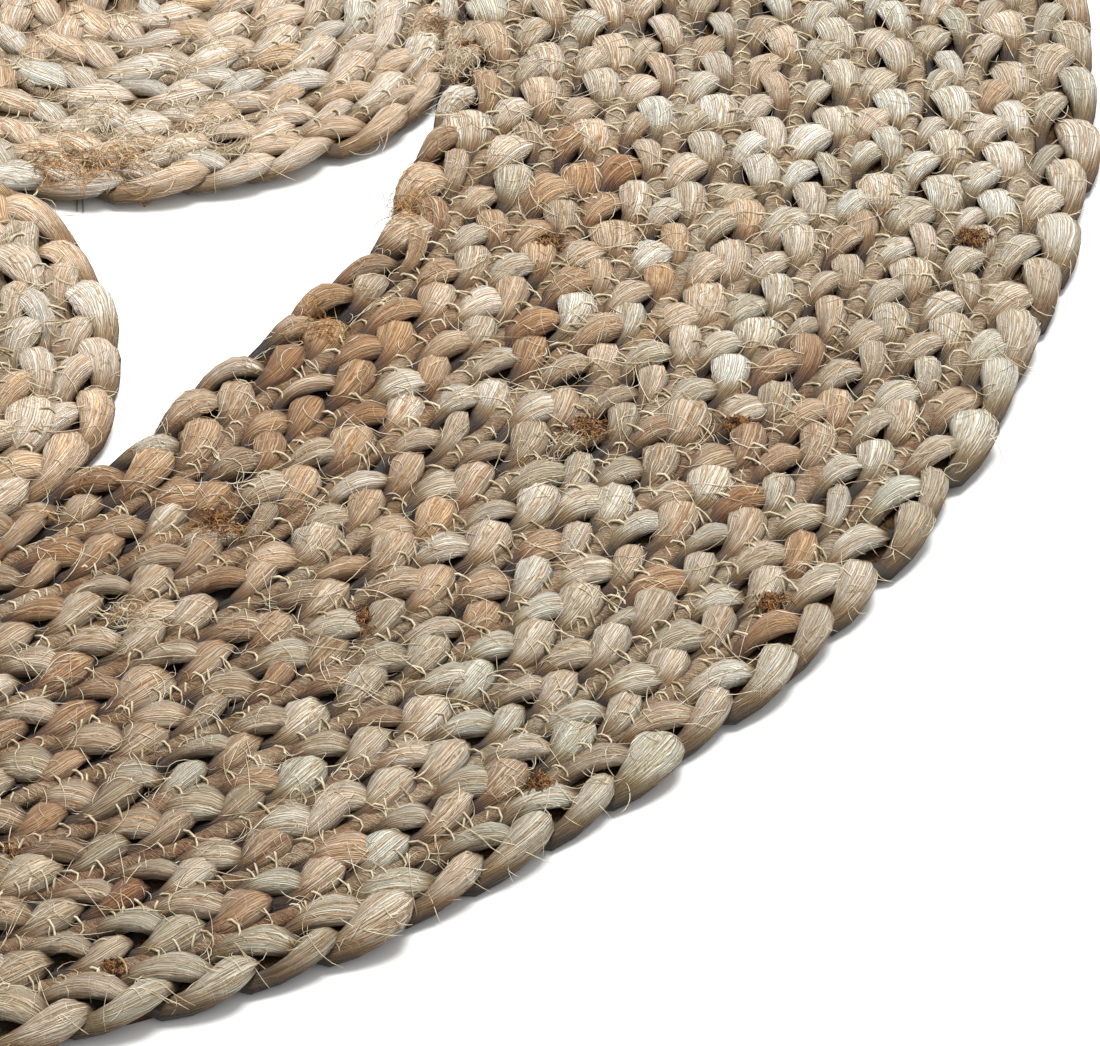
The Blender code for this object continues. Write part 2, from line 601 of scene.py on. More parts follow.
    def _hairs(self, add: Adder, place: Socket, length_mm: float, shift: float) -> Socket:
        """Draw one bent hair at any angle across each cell of a random pattern.

        Args:
            add: Adds a node to the tree.
            place: Place on the rug.
            length_mm: Size of a cell, so the length of a hair.
            shift: Moves the pattern, so that layers differ.

        Returns:
            1 on a hair and 0 beside it.
        """
        across = 1 / (length_mm * MM)
        moved = {1: (across, across, 0.0), 2: (shift, 2 * shift, 0.0)}
        scaled = add("VectorMath", {"operation": "MULTIPLY_ADD"}, moved, {0: place}).outputs[0]
        cell = add("TexVoronoi", {"voronoi_dimensions": "2D"}, {"Scale": 1.0}, {"Vector": scaled})
        local = add(
            "VectorMath", {"operation": "SUBTRACT"}, None, {0: scaled, 1: cell.outputs["Position"]}
        ).outputs[0]
        chance = add("SeparateColor", None, None, {0: cell.outputs["Color"]})
        angle = add(
            "Math", {"operation": "MULTIPLY"}, {1: 2 * math.pi}, {0: chance.outputs[0]}
        ).outputs[0]
        turned = add(
            "VectorRotate", {"rotation_type": "Z_AXIS"}, None, {"Vector": local, "Angle": angle}
        ).outputs[0]
        parts = add("SeparateXYZ", None, None, {0: turned})
        bow = add("Math", {"operation": "POWER"}, {1: 2.0}, {0: parts.outputs[0]}).outputs[0]
        bent = self._added(add, parts.outputs[1], bow, self.hair_bow, self.hair_aside)
        off = add("Math", {"operation": "ABSOLUTE"}, None, {0: bent})
        fades = []
        widths = (0.0, self.hair_mm / length_mm)
        for (full, gone), away in ((widths, off.outputs[0]), (self.hair_ends, bow)):
            limits = {FROM_MIN: full, FROM_MAX: gone, TO_MIN: 1.0, TO_MAX: 0.0}
            fades.append(add("MapRange", None, limits, {0: away}).outputs[0])
        return add("Math", {"operation": "MULTIPLY"}, None, dict(enumerate(fades))).outputs[0]

    @staticmethod
    def _fact(add: Adder, fact: Fact) -> bpy.types.Node:
        """Add a node that reads one of the strands' facts."""
        return add("Attribute", {"attribute_name": fact.value})

    @staticmethod
    def _added(add: Adder, base: Socket, more: Socket, share: float, shift: float) -> Socket:
        """Add a share of one value, and a constant, to another value.

        Args:
            add: Adds a node to the tree.
            base: The value that is added to.
            more: The value to add a share of.
            share: The share.
            shift: The constant.

        Returns:
            The sum.
        """
        part = add("Math", {"operation": "MULTIPLY_ADD"}, {1: share, 2: shift}, {0: more})
        return add("Math", {"operation": "ADD"}, None, {0: base, 1: part.outputs[0]}).outputs[0]

    @staticmethod
    def _varied(add: Adder, base: Socket, pattern: Socket, share: float) -> Socket:
        """Let a pattern between 0 and 1 move a value up and down by half a share."""
        return JuteFinish._added(add, base, pattern, share, -share / 2)

    @staticmethod
    def _shaded(add: Adder, color: Socket, shade: Socket) -> Socket:
        """Multiply a colour by a shade.

        Args:
            add: Adds a node to the tree.
            color: The colour.
            shade: White where the colour stays as it is.

        Returns:
            The shaded colour.
        """
        how = {"data_type": "RGBA", "blend_type": "MULTIPLY"}
        node = add("Mix", how, {0: 1.0}, {MIX_BELOW: color, MIX_ABOVE: shade})
        return node.outputs[MIX_RESULT]

    def _waved(self, add: Adder, place: Socket) -> Socket:
        """Let the bundles wander a little, as drawn fibre does.

        Args:
            add: Adds a node to the tree.
            place: The place in the strand, with one unit for each bundle.

        Returns:
            The same place, moved sideways by up to half a bundle either way.
        """
        noise = add(
            "TexNoise", None, {"Scale": self.wander_scale, "Detail": 1.0}, {"Vector": place}
        )
        sideways = {1: (0.0, self.wander, self.wander)}
        part = add(
            "VectorMath", {"operation": "MULTIPLY"}, sideways, {0: noise.outputs["Color"]}
        )
        return add(
            "VectorMath", {"operation": "ADD"}, None, {0: place, 1: part.outputs[0]}
        ).outputs[0]

    @staticmethod
    def _pulled(add: Adder, width_mm: float, length_mm: float) -> Socket:
        """Scale the place in the straightened strand for a long, narrow pattern.

        Args:
            add: Adds a node to the tree.
            width_mm: Width of one streak.
            length_mm: Length of one streak.

        Returns:
            The place, with one unit for each streak.
        """
        across = 1 / (width_mm * MM)
        along = 1 / (length_mm * MM)
        fibre = JuteFinish._fact(add, Fact.FIBRE).outputs["Vector"]
        node = add(
            "VectorMath", {"operation": "MULTIPLY"}, {1: (along, across, across)}, {0: fibre}
        )
        return node.outputs["Vector"]


def mottle(add: Adder, size_mm: float, detail: float, stops: Stops) -> tuple[Socket, Socket]:
    """Draw clouds over a piece and colour them.

    Args:
        add: Adds a node to the tree.
        size_mm: Size of a cloud.
        detail: How finely the clouds are broken up.
        stops: Their colours.

    Returns:
        The clouds and their colour.
    """
    place = add("TexCoord").outputs["Object"]
    cloud = add(
        "TexNoise", None, {"Scale": 1 / (size_mm * MM), "Detail": detail}, {"Vector": place}
    ).outputs["Fac"]
    ramp = add("ValToRGB", None, None, {"Fac": cloud}, stops)
    return cloud, ramp.outputs["Color"]


@dataclass(frozen=True)
class YarnFinish:
    """Thin plant yarn or a loose fibre: matt, with a faint mottle along it.

    The mottle keeps a thread from looking like one flat line.
    """

    name: str
    color: str
    dark: str
    mottle_mm: float = 4.0
    roughness: float = 0.8
    ior: float = 1.5
    specular: float = 0.3

    def build(self) -> Material:
        """Make the material.

        Returns:
            A matt material whose colour wanders between its two tones.
        """
        material, tree, shader = start_material(self.name, {
            "Roughness": self.roughness,
            "IOR": self.ior,
            "Specular IOR Level": self.specular,
        })
        add = partial(add_node, tree)
        stops = ((0.36, self.dark), (0.60, self.color))
        color = mottle(add, self.mottle_mm, 2.0, stops)[1]
        tree.links.new(color, shader.inputs["Base Color"])
        return material


@dataclass(frozen=True)
class GroundFinish:
    """Jute deep between the strands, brown and dark with painted shade; rough and fibrous."""

    name: str = "shaded_jute_ground"
    fibre_mm: float = 1.2
    # Dark browns that paint in the shade deep between the strands
    dark: str = "#21160c"
    color: str = "#523d28"
    roughness: float = 0.95
    specular: float = 0.1
    relief_mm: float = 0.5

    def build(self) -> Material:
        """Make the material.

        Returns:
            A dark matt material with a fibrous mottle.
        """
        material, tree, shader = start_material(
            self.name, {"Roughness": self.roughness, "Specular IOR Level": self.specular}
        )
        add = partial(add_node, tree)
        stops = ((0.3, self.dark), (0.7, self.color))
        cloud, color = mottle(add, self.fibre_mm, 3.0, stops)
        tree.links.new(color, shader.inputs["Base Color"])
        bump = add(
            "Bump", None, {"Strength": 0.8, "Distance": self.relief_mm * MM}, {"Height": cloud}
        )
        tree.links.new(bump.outputs["Normal"], shader.inputs["Normal"])
        return material


@dataclass(frozen=True)
class FloorFinish:
    """Smooth white studio board."""

    name: str = "studio_board"
    color: str = "#f7f7f5"
    roughness: float = 0.9
    specular: float = 0.1

    def build(self) -> Material:
        """Make the material."""
        return start_material(self.name, {
            "Base Color": linear(self.color),
            "Roughness": self.roughness,
            "Specular IOR Level": self.specular,
        })[0]


# ---- paths and tubes


@dataclass
class Spots:
    """Places along a row's middle line."""

    middle: Array
    outward: Array
    squeeze: Array       # the row's width there, as a share of the full pitch
    outer_edge: Array    # 1 where its outward side is a free edge, 0 where it is sewn
    inner_edge: Array    # the same for its inward side


@dataclass
class RowPath:
    """The middle line of a braid row on the plane, with its outward side."""

    spots: Spots
    run: Array
    closed: bool

    @classmethod
    def through(
        cls,
        points: Array,
        closed: bool,
        squeeze: Array | float = 1.0,
        outer_edge: Array | float = 0.0,
        inner_edge: Array | float = 0.0,
    ) -> RowPath:
        """Make a path through points that go round counterclockwise.

        Args:
            points: Points in order, without a repeat of the first at the end.
            closed: Whether the path joins up.
            squeeze: The row's width there, as a share of the full pitch.
            outer_edge: How free its outward side is, 0 to 1.
            inner_edge: How free its inward side is, 0 to 1.

        Returns:
            The path, with its outward directions and its length along the way.
        """
        traits = [np.broadcast_to(t, len(points)) for t in (squeeze, outer_edge, inner_edge)]
        if closed:
            points = np.vstack([points, points[:1]])
            traits = [np.append(t, t[0]) for t in traits]
        steps = np.hypot(*np.diff(points, axis=0).T)
        run = np.concatenate([[0.0], np.cumsum(steps)])
        if closed:
            ahead = np.vstack([points[1:], points[1:2]])
            behind = np.vstack([points[-2:-1], points[:-1]])
        else:
            ahead = np.vstack([points[1:], points[-1:]])
            behind = np.vstack([points[:1], points[:-1]])
        along = ahead - behind
        along /= np.hypot(along[:, 0], along[:, 1])[:, None]
        outward = np.column_stack([along[:, 1], -along[:, 0]])
        return cls(Spots(points, outward, *traits), run, closed)

    @property
    def length(self) -> float:
        """Length of the whole path."""
        return float(self.run[-1])

    def at(self, run: Array) -> Spots:
        """Look up places along the path.

        Args:
            run: Distances along it; they wrap round on a closed path.

        Returns:
            The places.
        """
        run = run % self.length if self.closed else np.clip(run, 0, self.length)
        s = self.spots
        columns = [*s.middle.T, *s.outward.T, s.squeeze, s.outer_edge, s.inner_edge]
        found = [np.interp(run, self.run, column) for column in columns]
        outward = np.column_stack(found[2:4])
        outward /= np.hypot(outward[:, 0], outward[:, 1])[:, None]
        return Spots(np.column_stack(found[:2]), outward, *found[4:])


@dataclass
class TubeMesh:
    """Gathers closed tubes and turns them into one mesh object."""

    name: str
    points: list[Array] = field(default_factory=list)
    faces: list[Array] = field(default_factory=list)
    caps: list[list[int]] = field(default_factory=list)
    facts: dict[Fact, list[Array]] = field(default_factory=dict)
    count: int = 0

    def add(self, rings: Array, closed: bool, facts: dict[Fact, Array] | None = None) -> None:
        """Add a tube.

        Args:
            rings: Points of shape (rings, corners, 3). Seen along the tube with up on top,
                the corners run from the outward side over the top.
            closed: Whether the last ring joins the first; otherwise both ends get a cap.
            facts: Per-point values of shape (rings, corners) or (rings, corners, 3).
        """
        many, corners = rings.shape[:2]
        ids = self.count + np.arange(many * corners).reshape(many, corners)
        after = np.roll(ids, -1, axis=0)
        beside = np.roll(ids, -1, axis=1)
        both = np.roll(after, -1, axis=1)
        quads = np.stack([ids, after, both, beside], axis=-1)
        if not closed:
            quads = quads[:-1]
            self.caps.append(ids[0].tolist())
            self.caps.append(ids[-1][::-1].tolist())
        self.points.append(rings.reshape(-1, 3))
        self.faces.append(quads.reshape(-1, 4))
        for fact, values in (facts or {}).items():
            self.facts.setdefault(fact, []).append(values.reshape(many * corners, -1))
        self.count += many * corners

    def finish(self, material: Material) -> Object:
        """Make the mesh object.

        Args:
            material: The finish of the whole mesh.

        Returns:
            The object, smooth shaded and linked to the scene.
        """
        faces = np.concatenate(self.faces).tolist() + self.caps
        obj = add_mesh(self.name, np.concatenate(self.points), faces, material)
        mesh = obj.data
        mesh.polygons.foreach_set("use_smooth", np.ones(len(faces), dtype=bool))
        for fact, values in self.facts.items():
            stacked = np.concatenate(values).astype(np.float32)
            vector = stacked.shape[1] == 3
            layer = mesh.attributes.new(fact.value, "FLOAT_VECTOR" if vector else "FLOAT", "POINT")
            layer.data.foreach_set("vector" if vector else "value", stacked.ravel())
        return obj

    def add_line(self, points: Array, radii: Array, corners: int) -> None:
        """Add a thin open tube round a line.

        Args:
            points: The line's points, of shape (rings, 3).
            radii: The radius at each point.
            corners: How many corners a ring has.
        """
        along = np.gradient(points, axis=0)
        along /= np.linalg.norm(along, axis=1)[:, None] + 1e-12
        side = np.cross(along, UP)
        upright = np.linalg.norm(side, axis=1) < 0.05
        side[upright] = (1.0, 0.0, 0.0)
        side /= np.linalg.norm(side, axis=1)[:, None]
        over = np.cross(side, along)
        turn = 2 * math.pi * np.arange(corners) / corners
        ring = side[:, None] * np.cos(turn)[None, :, None]
        ring = ring + over[:, None] * np.sin(turn)[None, :, None]
        self.add((points[:, None] + ring * radii[:, None, None])[:, ::-1], False)


# ---- the braid


@dataclass(frozen=True)
class Shades:
    """How the lobes of a row are coloured, from 0, rust brown, to 1, cream."""

    light: float              # tone of a plain lobe
    rusty: float              # share of rust-coloured lobes
    creamy: float             # share of cream ones
    warmth: float             # tint of a plain lobe
    shading: float            # how strong the painted shade down between the lobes is
    spread: float = 0.075     # of the tone
    drift: float = 0.045      # how far a longer stretch of a strand moves in tone
    tint_spread: float = 0.11
    tint_drift: float = 0.11
    rusty_tones: Range = (0.30, 0.48)
    rusty_tints: Range = (0.62, 0.95)
    creamy_tones: Range = (0.66, 0.82)
    creamy_cooler: float = 0.12


@dataclass(frozen=True)
class Lot:
    """A stretch of the rug whose jute is lighter or warmer than the rest."""

    x: float
    y: float
    reach: float
    lighter: float
    warmer: float


# Given in metres; the last four lie outside the photograph
LOTS = (
    Lot(0.36, -0.14, 0.080, -0.01, 0.12),
    Lot(0.40, -0.02, 0.070, 0.09, 0.02),
    Lot(0.24, -0.31, 0.060, -0.03, 0.20),
    Lot(0.30, -0.20, 0.045, -0.06, 0.14),
    Lot(0.307, -0.181, 0.014, -0.08, 0.35),
    Lot(0.40, -0.25, 0.030, -0.12, -0.30),
    Lot(0.30, -0.35, 0.035, -0.10, -0.30),
    Lot(0.23, -0.475, 0.085, -0.20, 0.02),
    Lot(0.36, -0.42, 0.050, 0.03, -0.20),
    Lot(0.50, -0.10, 0.090, 0.12, -0.06),
    Lot(0.46, -0.25, 0.030, -0.06, 0.15),
    Lot(0.405, -0.16, 0.030, 0.12, -0.02),
    Lot(0.45, -0.19, 0.030, 0.14, -0.02),
    Lot(0.433, -0.258, 0.035, -0.14, 0.12),
    Lot(0.475, -0.224, 0.030, -0.14, 0.05),
    Lot(0.526, -0.172, 0.030, -0.12, 0.00),
    Lot(0.285, -0.362, 0.030, -0.18, 0.05),
    Lot(0.184, -0.224, 0.020, -0.15, 0.05),
    Lot(0.304, -0.246, 0.045, 0.02, 0.24),
    Lot(0.239, -0.293, 0.035, -0.03, 0.12),
    Lot(0.330, -0.447, 0.032, -0.04, 0.22),
    Lot(0.401, -0.127, 0.026, -0.16, 0.22),
    Lot(0.385, -0.301, 0.022, 0.12, 0.00),
    Lot(-0.42, 0.10, 0.100, -0.05, 0.20),
    Lot(-0.20, -0.44, 0.080, 0.05, -0.15),
    Lot(-0.25, 0.42, 0.090, -0.08, -0.10),
    Lot(0.20, 0.40, 0.080, 0.04, 0.20),
)


@dataclass(frozen=True)
class SlowWaves:
    """How the jute changes over the whole rug: lighter and darker, warmer and cooler."""

    round_tone: float = 0.035         # twice round the rug
    round_start: float = 0.15
    across_tone: float = 0.025
    across: Range = (31.0, 19.0)      # radians for each metre along x and y
    tint: float = 0.05
    tint_across: Range = (12.0, -9.0)
    tint_start: float = 1.0

    def at(self, x: Array, y: Array) -> tuple[Array, Array]:
        """What the waves add to the tone and to the tint at some places."""
        angle = np.arctan2(y, x)
        tone = self.round_tone * np.cos(2 * (angle + self.round_start))
        tone = tone + self.across_tone * np.sin(self.across[0] * x + self.across[1] * y)
        steps = self.tint_across[0] * x + self.tint_across[1] * y + self.tint_start
        return tone, self.tint * np.sin(steps)


def lot_at(middle: Array) -> tuple[Array, Array]:
    """Shade and tint whole stretches of the rug, as lots of jute differ.

    Args:
        middle: Middle points of a row.

    Returns:
        What to add to the tone and to the tint at each point.
    """
    x, y = middle.T
    tone, tint = SlowWaves().at(x, y)
    for lot in LOTS:
        away = np.hypot(x - lot.x, y - lot.y) / lot.reach
        share = np.exp(-away * away)
        tone += lot.lighter * share
        tint += lot.warmer * share
    return tone, tint


def strand_facts(fibre: Array, tone: Array, tint: Array, height: Array) -> dict[Fact, Array]:
    """Gather what the jute finish needs at each point of a tube.

    Args:
        fibre: Place of each point in the straightened strand.
        tone: How light the jute is at each ring.
        tint: How warm it is at each ring.
        height: How open to the light each point lies.

    Returns:
        Per-point values of shape (rings, corners) or (rings, corners, 3).
    """
    corners = height.shape[1]
    return {
        Fact.FIBRE: fibre,
        Fact.TONE: np.repeat(tone[:, None], corners, axis=1),
        Fact.TINT: np.repeat(np.clip(tint, 0, 1)[:, None], corners, axis=1),
        Fact.HEIGHT: height,
    }


@dataclass(frozen=True)
class Section:
    """Corners round a strand: close together on top, few underneath."""

    corners_deg: Steps
    sunk: float = -0.5        # a sunk corner, where a raised one is 1
    side: float = -0.2        # sine of the lowest angle that still has ridges

    @property
    def turn(self) -> Array:
        """The corners' angles; 0 is the outward side and 90 the top."""
        return np.radians(self.corners_deg)

    @property
    def ridges(self) -> Array:
        """Raised and sunk corners in turn on top, which makes bundles of fibre."""
        top = np.array([self.sunk if number % 2 else 1.0 for number in range(len(self.turn))])
        return np.where(np.sin(self.turn) > self.side, top, 0.0)


@dataclass
class Lobes:
    """How a strand's rings share out over its lobes."""

    count: int                # of lobes
    number: Array             # the lobe that each ring belongs to
    half_wave: Array          # each ring's place in its lobe, in degrees
    head: Array               # 1 on the lobes of the row's outward side, -1 on the others
    run: Array                # distance along the row
    middle: Array             # middle points of the row


@dataclass
class Braid:
    """A row of three strands that cross over and under each other."""

    gauge: Gauge
    path: RowPath
    rng: np.random.Generator
    shades: Shades
    wander: float = 1.0
    lobe_spacing: float | None = None
    fullness: float = 1.0     # widens the strands and presses them flatter

    strands: int = 3
    # Places round half a wave where a strand gets a ring: close on the lobe that shows
    # (from its tail at the seam to its head past the row's middle), far apart underneath
    wave_deg: Steps = (50, 84, 108, 130, 150, 166, 181, 198)
    # The lobe's width and depth at those places: a pinched tail and a head like a brush
    widths: Steps = (0.64, 0.74, 0.86, 0.99, 1.10, 1.14, 1.00, 0.58)
    depths: Steps = (0.78, 0.88, 0.99, 1.05, 1.03, 0.94, 0.82, 0.62)
    # How high its middle lies there, as a share of the lift: it climbs slowly to its head
    # and dives steeply under the next strand
    lifts: Steps = (-0.90, -0.40, 0.14, 0.64, 0.95, 0.86, 0.22, -0.85)
    # Along a free edge the strands lie like a rope's: how far out the middle of a lobe is,
    # in pitches, and what is left of its width
    rope_sways: Steps = (0.395, 0.420, 0.402, 0.355, 0.280, 0.190, 0.090, -0.020)
    rope_widths: Steps = (1.00, 1.00, 0.98, 0.98, 0.98, 0.96, 0.94, 0.94)
    # Painted shade there: golden brown at the tail, dark where it dives under
    shade_along: Steps = (0.52, 0.65, 0.80, 0.93, 1.0, 1.05, 0.84, 0.30)
    # Painted highlight there, and painted shade: the head is the palest, the tail and the dive
    # darker
    highlight_along: Steps = (-0.06, -0.05, -0.02, 0.03, 0.06, 0.07, 0.03, -0.06)
    sewn: Section = Section((-8, 20, 48, 76, 104, 132, 160, 188, 270))
    free: Section = Section((-42, -18, 4, 26, 48, 70, 92, 116, 140, 164, 190, 228, 280))
    # Spread of a lobe's place along and across the row, its height, its width and its depth
    uneven: Steps = (2.6 * MM, 1.1 * MM, 0.60 * MM, 0.18, 0.13)
    most_uneven: float = 2.2          # no draw goes further out than this many spreads
    squeezes: float = 0.75            # how much of a row's squeeze its strands' width takes
    # The lobes on the row's outward side are fuller and carry a painted highlight; the swing is
    # made steeper, so that this holds for the whole lobe, and not only its middle
    head_swing: float = 1.6
    head_wider: float = 0.09
    head_higher: float = 0.35 * MM
    head_highlight: float = 0.035
    free_deeper: float = 0.30         # a lobe on a free edge bulges down over it
    free_lower: float = 0.35 * MM
    squared: float = 0.90             # power that squares the round section a little
    ridge: float = 0.10               # share of the strand's half width and half depth
    ridge_strengths: Range = (0.1, 1.7)
    fray: float = 1.3 * MM            # how unevenly the bundles of a head end
    rounding: float = 3.0 * MM        # how far the sides of a head end short of its middle
    fray_deg: Steps = (125, 160, 182, 198)    # it starts, is full, is still full and ends
    twist: float = 22.0               # turns the fibres round the strand, in radians a metre
    tuck: float = 14 * MM             # an open end thins out over this length
    tucked: Range = (0.4, 0.5)        # to these shares of its width and depth
    spare: int = 4                    # lobes past each open end, which are left out again
    lobe_start: float = 0.25          # where in its half wave a lobe starts
    roving: int = 5                   # lobes over which a strand's jute changes to another lot
    offcut: float = 40.0              # each lobe's fibre pattern is cut from so many metres
    lowest: float = 0.05 * MM         # height of the underside above the floor

    @property
    def section(self) -> Section:
        """The strands' section: finer where a side of the row is free."""
        spots = self.path.spots
        free = self.path.closed and (spots.outer_edge.any() or spots.inner_edge.any())
        return self.free if free else self.sewn

    def build(self, tubes: TubeMesh) -> None:
        """Add the row's three strands to a mesh.

        Args:
            tubes: The mesh that gathers them.
        """
        spacing = self.lobe_spacing or self.gauge.lobe_spacing
        waves = self.path.length / (self.strands * spacing)
        if self.path.closed:
            waves = max(2, round(waves))
        start = self.rng.uniform(0, 1)
        for strand in range(self.strands):
            self._strand(tubes, waves, start + strand / self.strands)

    def _strand(self, tubes: TubeMesh, waves: float, shift: float) -> None:
        """Add one strand.

        Args:
            tubes: The mesh that gathers it.
            waves: How many whole waves the strand makes along the path.
            shift: Where in a wave it starts, as a share of a wave.
        """
        g = self.gauge
        phase, run = self._waved(waves, shift)
        count = 2 * waves if self.path.closed else int(2 * waves) + 3 * self.spare
        lobe = phase / math.pi - self.lobe_start
        vary = [self._varied(lobe - 0.5, count, size) for size in self.uneven]
        along, sideways, raised, wider, deeper = (v * self.wander for v in vary)

        spots = self.path.at(run + along)
        half_wave = np.degrees(phase) % 180.0
        half_wave = np.where(half_wave < self.wave_deg[0], half_wave + 180, half_wave)
        width = g.half_width * np.interp(half_wave, self.wave_deg, self.widths) * (1 + wider)
        depth = g.half_depth * np.interp(half_wave, self.wave_deg, self.depths) * (1 + deeper)
        swing = np.sin(phase)
        head = np.clip(self.head_swing * swing, -1, 1)
        width = width * (1 + self.head_wider * head)
        free = spots.outer_edge * np.clip(swing, 0, 1) + spots.inner_edge * np.clip(-swing, 0, 1)
        side = 1 - 2 * (np.floor(lobe) % 2)
        edge = np.where(side > 0, spots.outer_edge, spots.inner_edge)
        rope = side * g.pitch * np.interp(half_wave, self.wave_deg, self.rope_sways)
        sway = g.sway * swing * (1 - edge) + rope * edge
        narrow = np.interp(half_wave, self.wave_deg, self.rope_widths)
        squeezed = 1 - self.squeezes + self.squeezes * spots.squeeze
        width = width * (1 - edge * (1 - narrow)) * squeezed
        depth = depth * (1 + self.free_deeper * free)
        width = width * self.fullness
        lift = g.lift / self.fullness * np.interp(half_wave, self.wave_deg, self.lifts)
        lift = lift + raised + self.head_higher * head - free ** 2 * self.free_lower
        sway = sway * spots.squeeze + sideways
        if not self.path.closed:
            tuck = np.minimum(1, np.minimum(run, self.path.length - run) / self.tuck)
            thin, flat = self.tucked
            sway = sway * tuck
            width = width * (thin + (1 - thin) * tuck)
            depth = depth * (flat + (1 - flat) * tuck)

        spine = np.column_stack(
            [spots.middle + spots.outward * sway[:, None], g.thickness / 2 + lift]
        )
        number = np.floor(lobe).astype(int) % count
        lobes = Lobes(count, number, half_wave, head, run, spots.middle)
        rings = self._rings(spine, width, depth, lobes)
        tubes.add(rings, self.path.closed, self._facts(rings, lobes))

    def _waved(self, waves: float, shift: float) -> tuple[Array, Array]:
        """List where a strand gets a ring.

        Args:
            waves: How many whole waves the strand makes along the path.
            shift: Where in a wave it starts, as a share of a wave.

        Returns:
            The wave's phase there, in radians, and the distance along the path.
        """
        closed = self.path.closed
        halves = np.arange(round(2 * waves))
        if not closed:
            halves = np.arange(-self.spare, int(2 * waves) + self.spare)
        phase = (halves[:, None] * math.pi + np.radians(self.wave_deg)[None]).ravel()
        run = (phase / (2 * math.pi) + shift) * self.path.length / waves
        if closed:
            return phase, run
        inside = (run >= 0) & (run <= self.path.length)
        return phase[inside], run[inside]

    def _varied(self, even: Array, count: int, size: float) -> Array:
        """Draw a value for each lobe and ease from one lobe to the next.

        Args:
            even: Lobe numbers along the strand, whole at each lobe's middle.
            count: How many lobes the strand has.
            size: The values' spread.

        Returns:
            A value for each ring.
        """
        most = self.most_uneven * size
        values = np.clip(self.rng.normal(0, size, count), -most, most)
        low = np.floor(even).astype(int)
        part = eased(even - low)
        return values[low % count] * (1 - part) + values[(low + 1) % count] * part

    def _rings(self, spine: Array, width: Array, depth: Array, lobes: Lobes) -> Array:
        """Wrap the strand's section round its middle line.

        Args:
            spine: Middle points.
            width: Half widths.
            depth: Half depths.
            lobes: The strand's lobes.

        Returns:
            Ring points, never below the floor.
        """
        if self.path.closed:
            along = np.roll(spine, -1, axis=0) - np.roll(spine, 1, axis=0)
        else:
            along = np.gradient(spine, axis=0)
        along /= np.linalg.norm(along, axis=1)[:, None]
        side = np.cross(along, UP)
        side /= np.linalg.norm(side, axis=1)[:, None]
        over = np.cross(side, along)
        turn, ridges = self.section.turn, self.section.ridges
        across = np.sign(np.cos(turn)) * np.abs(np.cos(turn)) ** self.squared
        upright = np.sign(np.sin(turn)) * np.abs(np.sin(turn)) ** self.squared
        every = (lobes.count, len(turn))
        strength = self.rng.uniform(*self.ridge_strengths, every)[lobes.number]
        swell = 1 + self.ridge * ridges[None] * strength
        frayed = self.rng.normal(0, self.fray, every)[lobes.number]
        frayed = frayed - self.rounding * across[None] ** 2
        frayed = frayed * np.interp(lobes.half_wave, self.fray_deg, (0, 1, 1, 0))[:, None]
        rings = (
            spine[:, None]
            + side[:, None] * (width[:, None] * across[None] * swell)[:, :, None]
            + over[:, None] * (depth[:, None] * upright[None] * swell)[:, :, None]
            + along[:, None] * frayed[:, :, None]
        )
        rings[:, :, 2] = np.maximum(rings[:, :, 2], self.lowest)
        return rings

    def _facts(self, rings: Array, lobes: Lobes) -> dict[Fact, Array]:
        """Work out what the jute finish needs at each point.

        Args:
            rings: The strand's points.
            lobes: The strand's lobes.

        Returns:
            Per-point values.
        """
        number = lobes.number
        place = lobes.run + self.rng.uniform(0, self.offcut, lobes.count)[number]
        spin = self.section.turn[None] + self.twist * lobes.run[:, None]
        radius = self.gauge.half_width
        place = np.repeat(place[:, None], rings.shape[1], axis=1)
        fibre = np.stack([place, radius * np.cos(spin), radius * np.sin(spin)], axis=-1)
        lot_tone, lot_tint = lot_at(lobes.middle)
        lobe_tone, lobe_tint = self._tones(lobes.count)
        # Painted highlight on the outward side's lobes and towards each head; painted shade at the
        # tail
        tone = lobe_tone[number] + lot_tone + self.head_highlight * lobes.head
        tone = tone + np.interp(lobes.half_wave, self.wave_deg, self.highlight_along)
        # Painted shade: the lower a point lies, and the nearer the tail or the dive, the darker
        height = self.gauge.height_share(rings)
        height *= np.interp(lobes.half_wave, self.wave_deg, self.shade_along)[:, None]
        height = 1 - self.shades.shading * (1 - height)
        return strand_facts(fibre, np.clip(tone, 0, 1), lobe_tint[number] + lot_tint, height)

    def _tones(self, count: int) -> tuple[Array, Array]:
        """Draw each lobe's tone and tint: mostly straw, some cream, a few rusty.

        Args:
            count: How many lobes the strand has.

        Returns:
            The tones and the tints.
        """
        s = self.shades
        rng = self.rng
        knots = np.arange(0, count + self.roving, self.roving)
        drift = np.interp(np.arange(count), knots, rng.normal(0, 1, len(knots)))
        warm = np.interp(np.arange(count), knots, rng.normal(0, 1, len(knots)))
        tone = rng.normal(s.light, s.spread, count) + s.drift * drift
        tint = s.warmth + rng.normal(0, s.tint_spread, count) + s.tint_drift * warm
        pick = rng.uniform(0, 1, count)
        rusty, creamy = pick < s.rusty, pick > 1 - s.creamy
        tone = np.where(rusty, rng.uniform(*s.rusty_tones, count), tone)
        tint = np.where(rusty, rng.uniform(*s.rusty_tints, count), tint)
        tone = np.where(creamy, rng.uniform(*s.creamy_tones, count), tone)
        return tone, np.where(creamy, tint - s.creamy_cooler, tint)


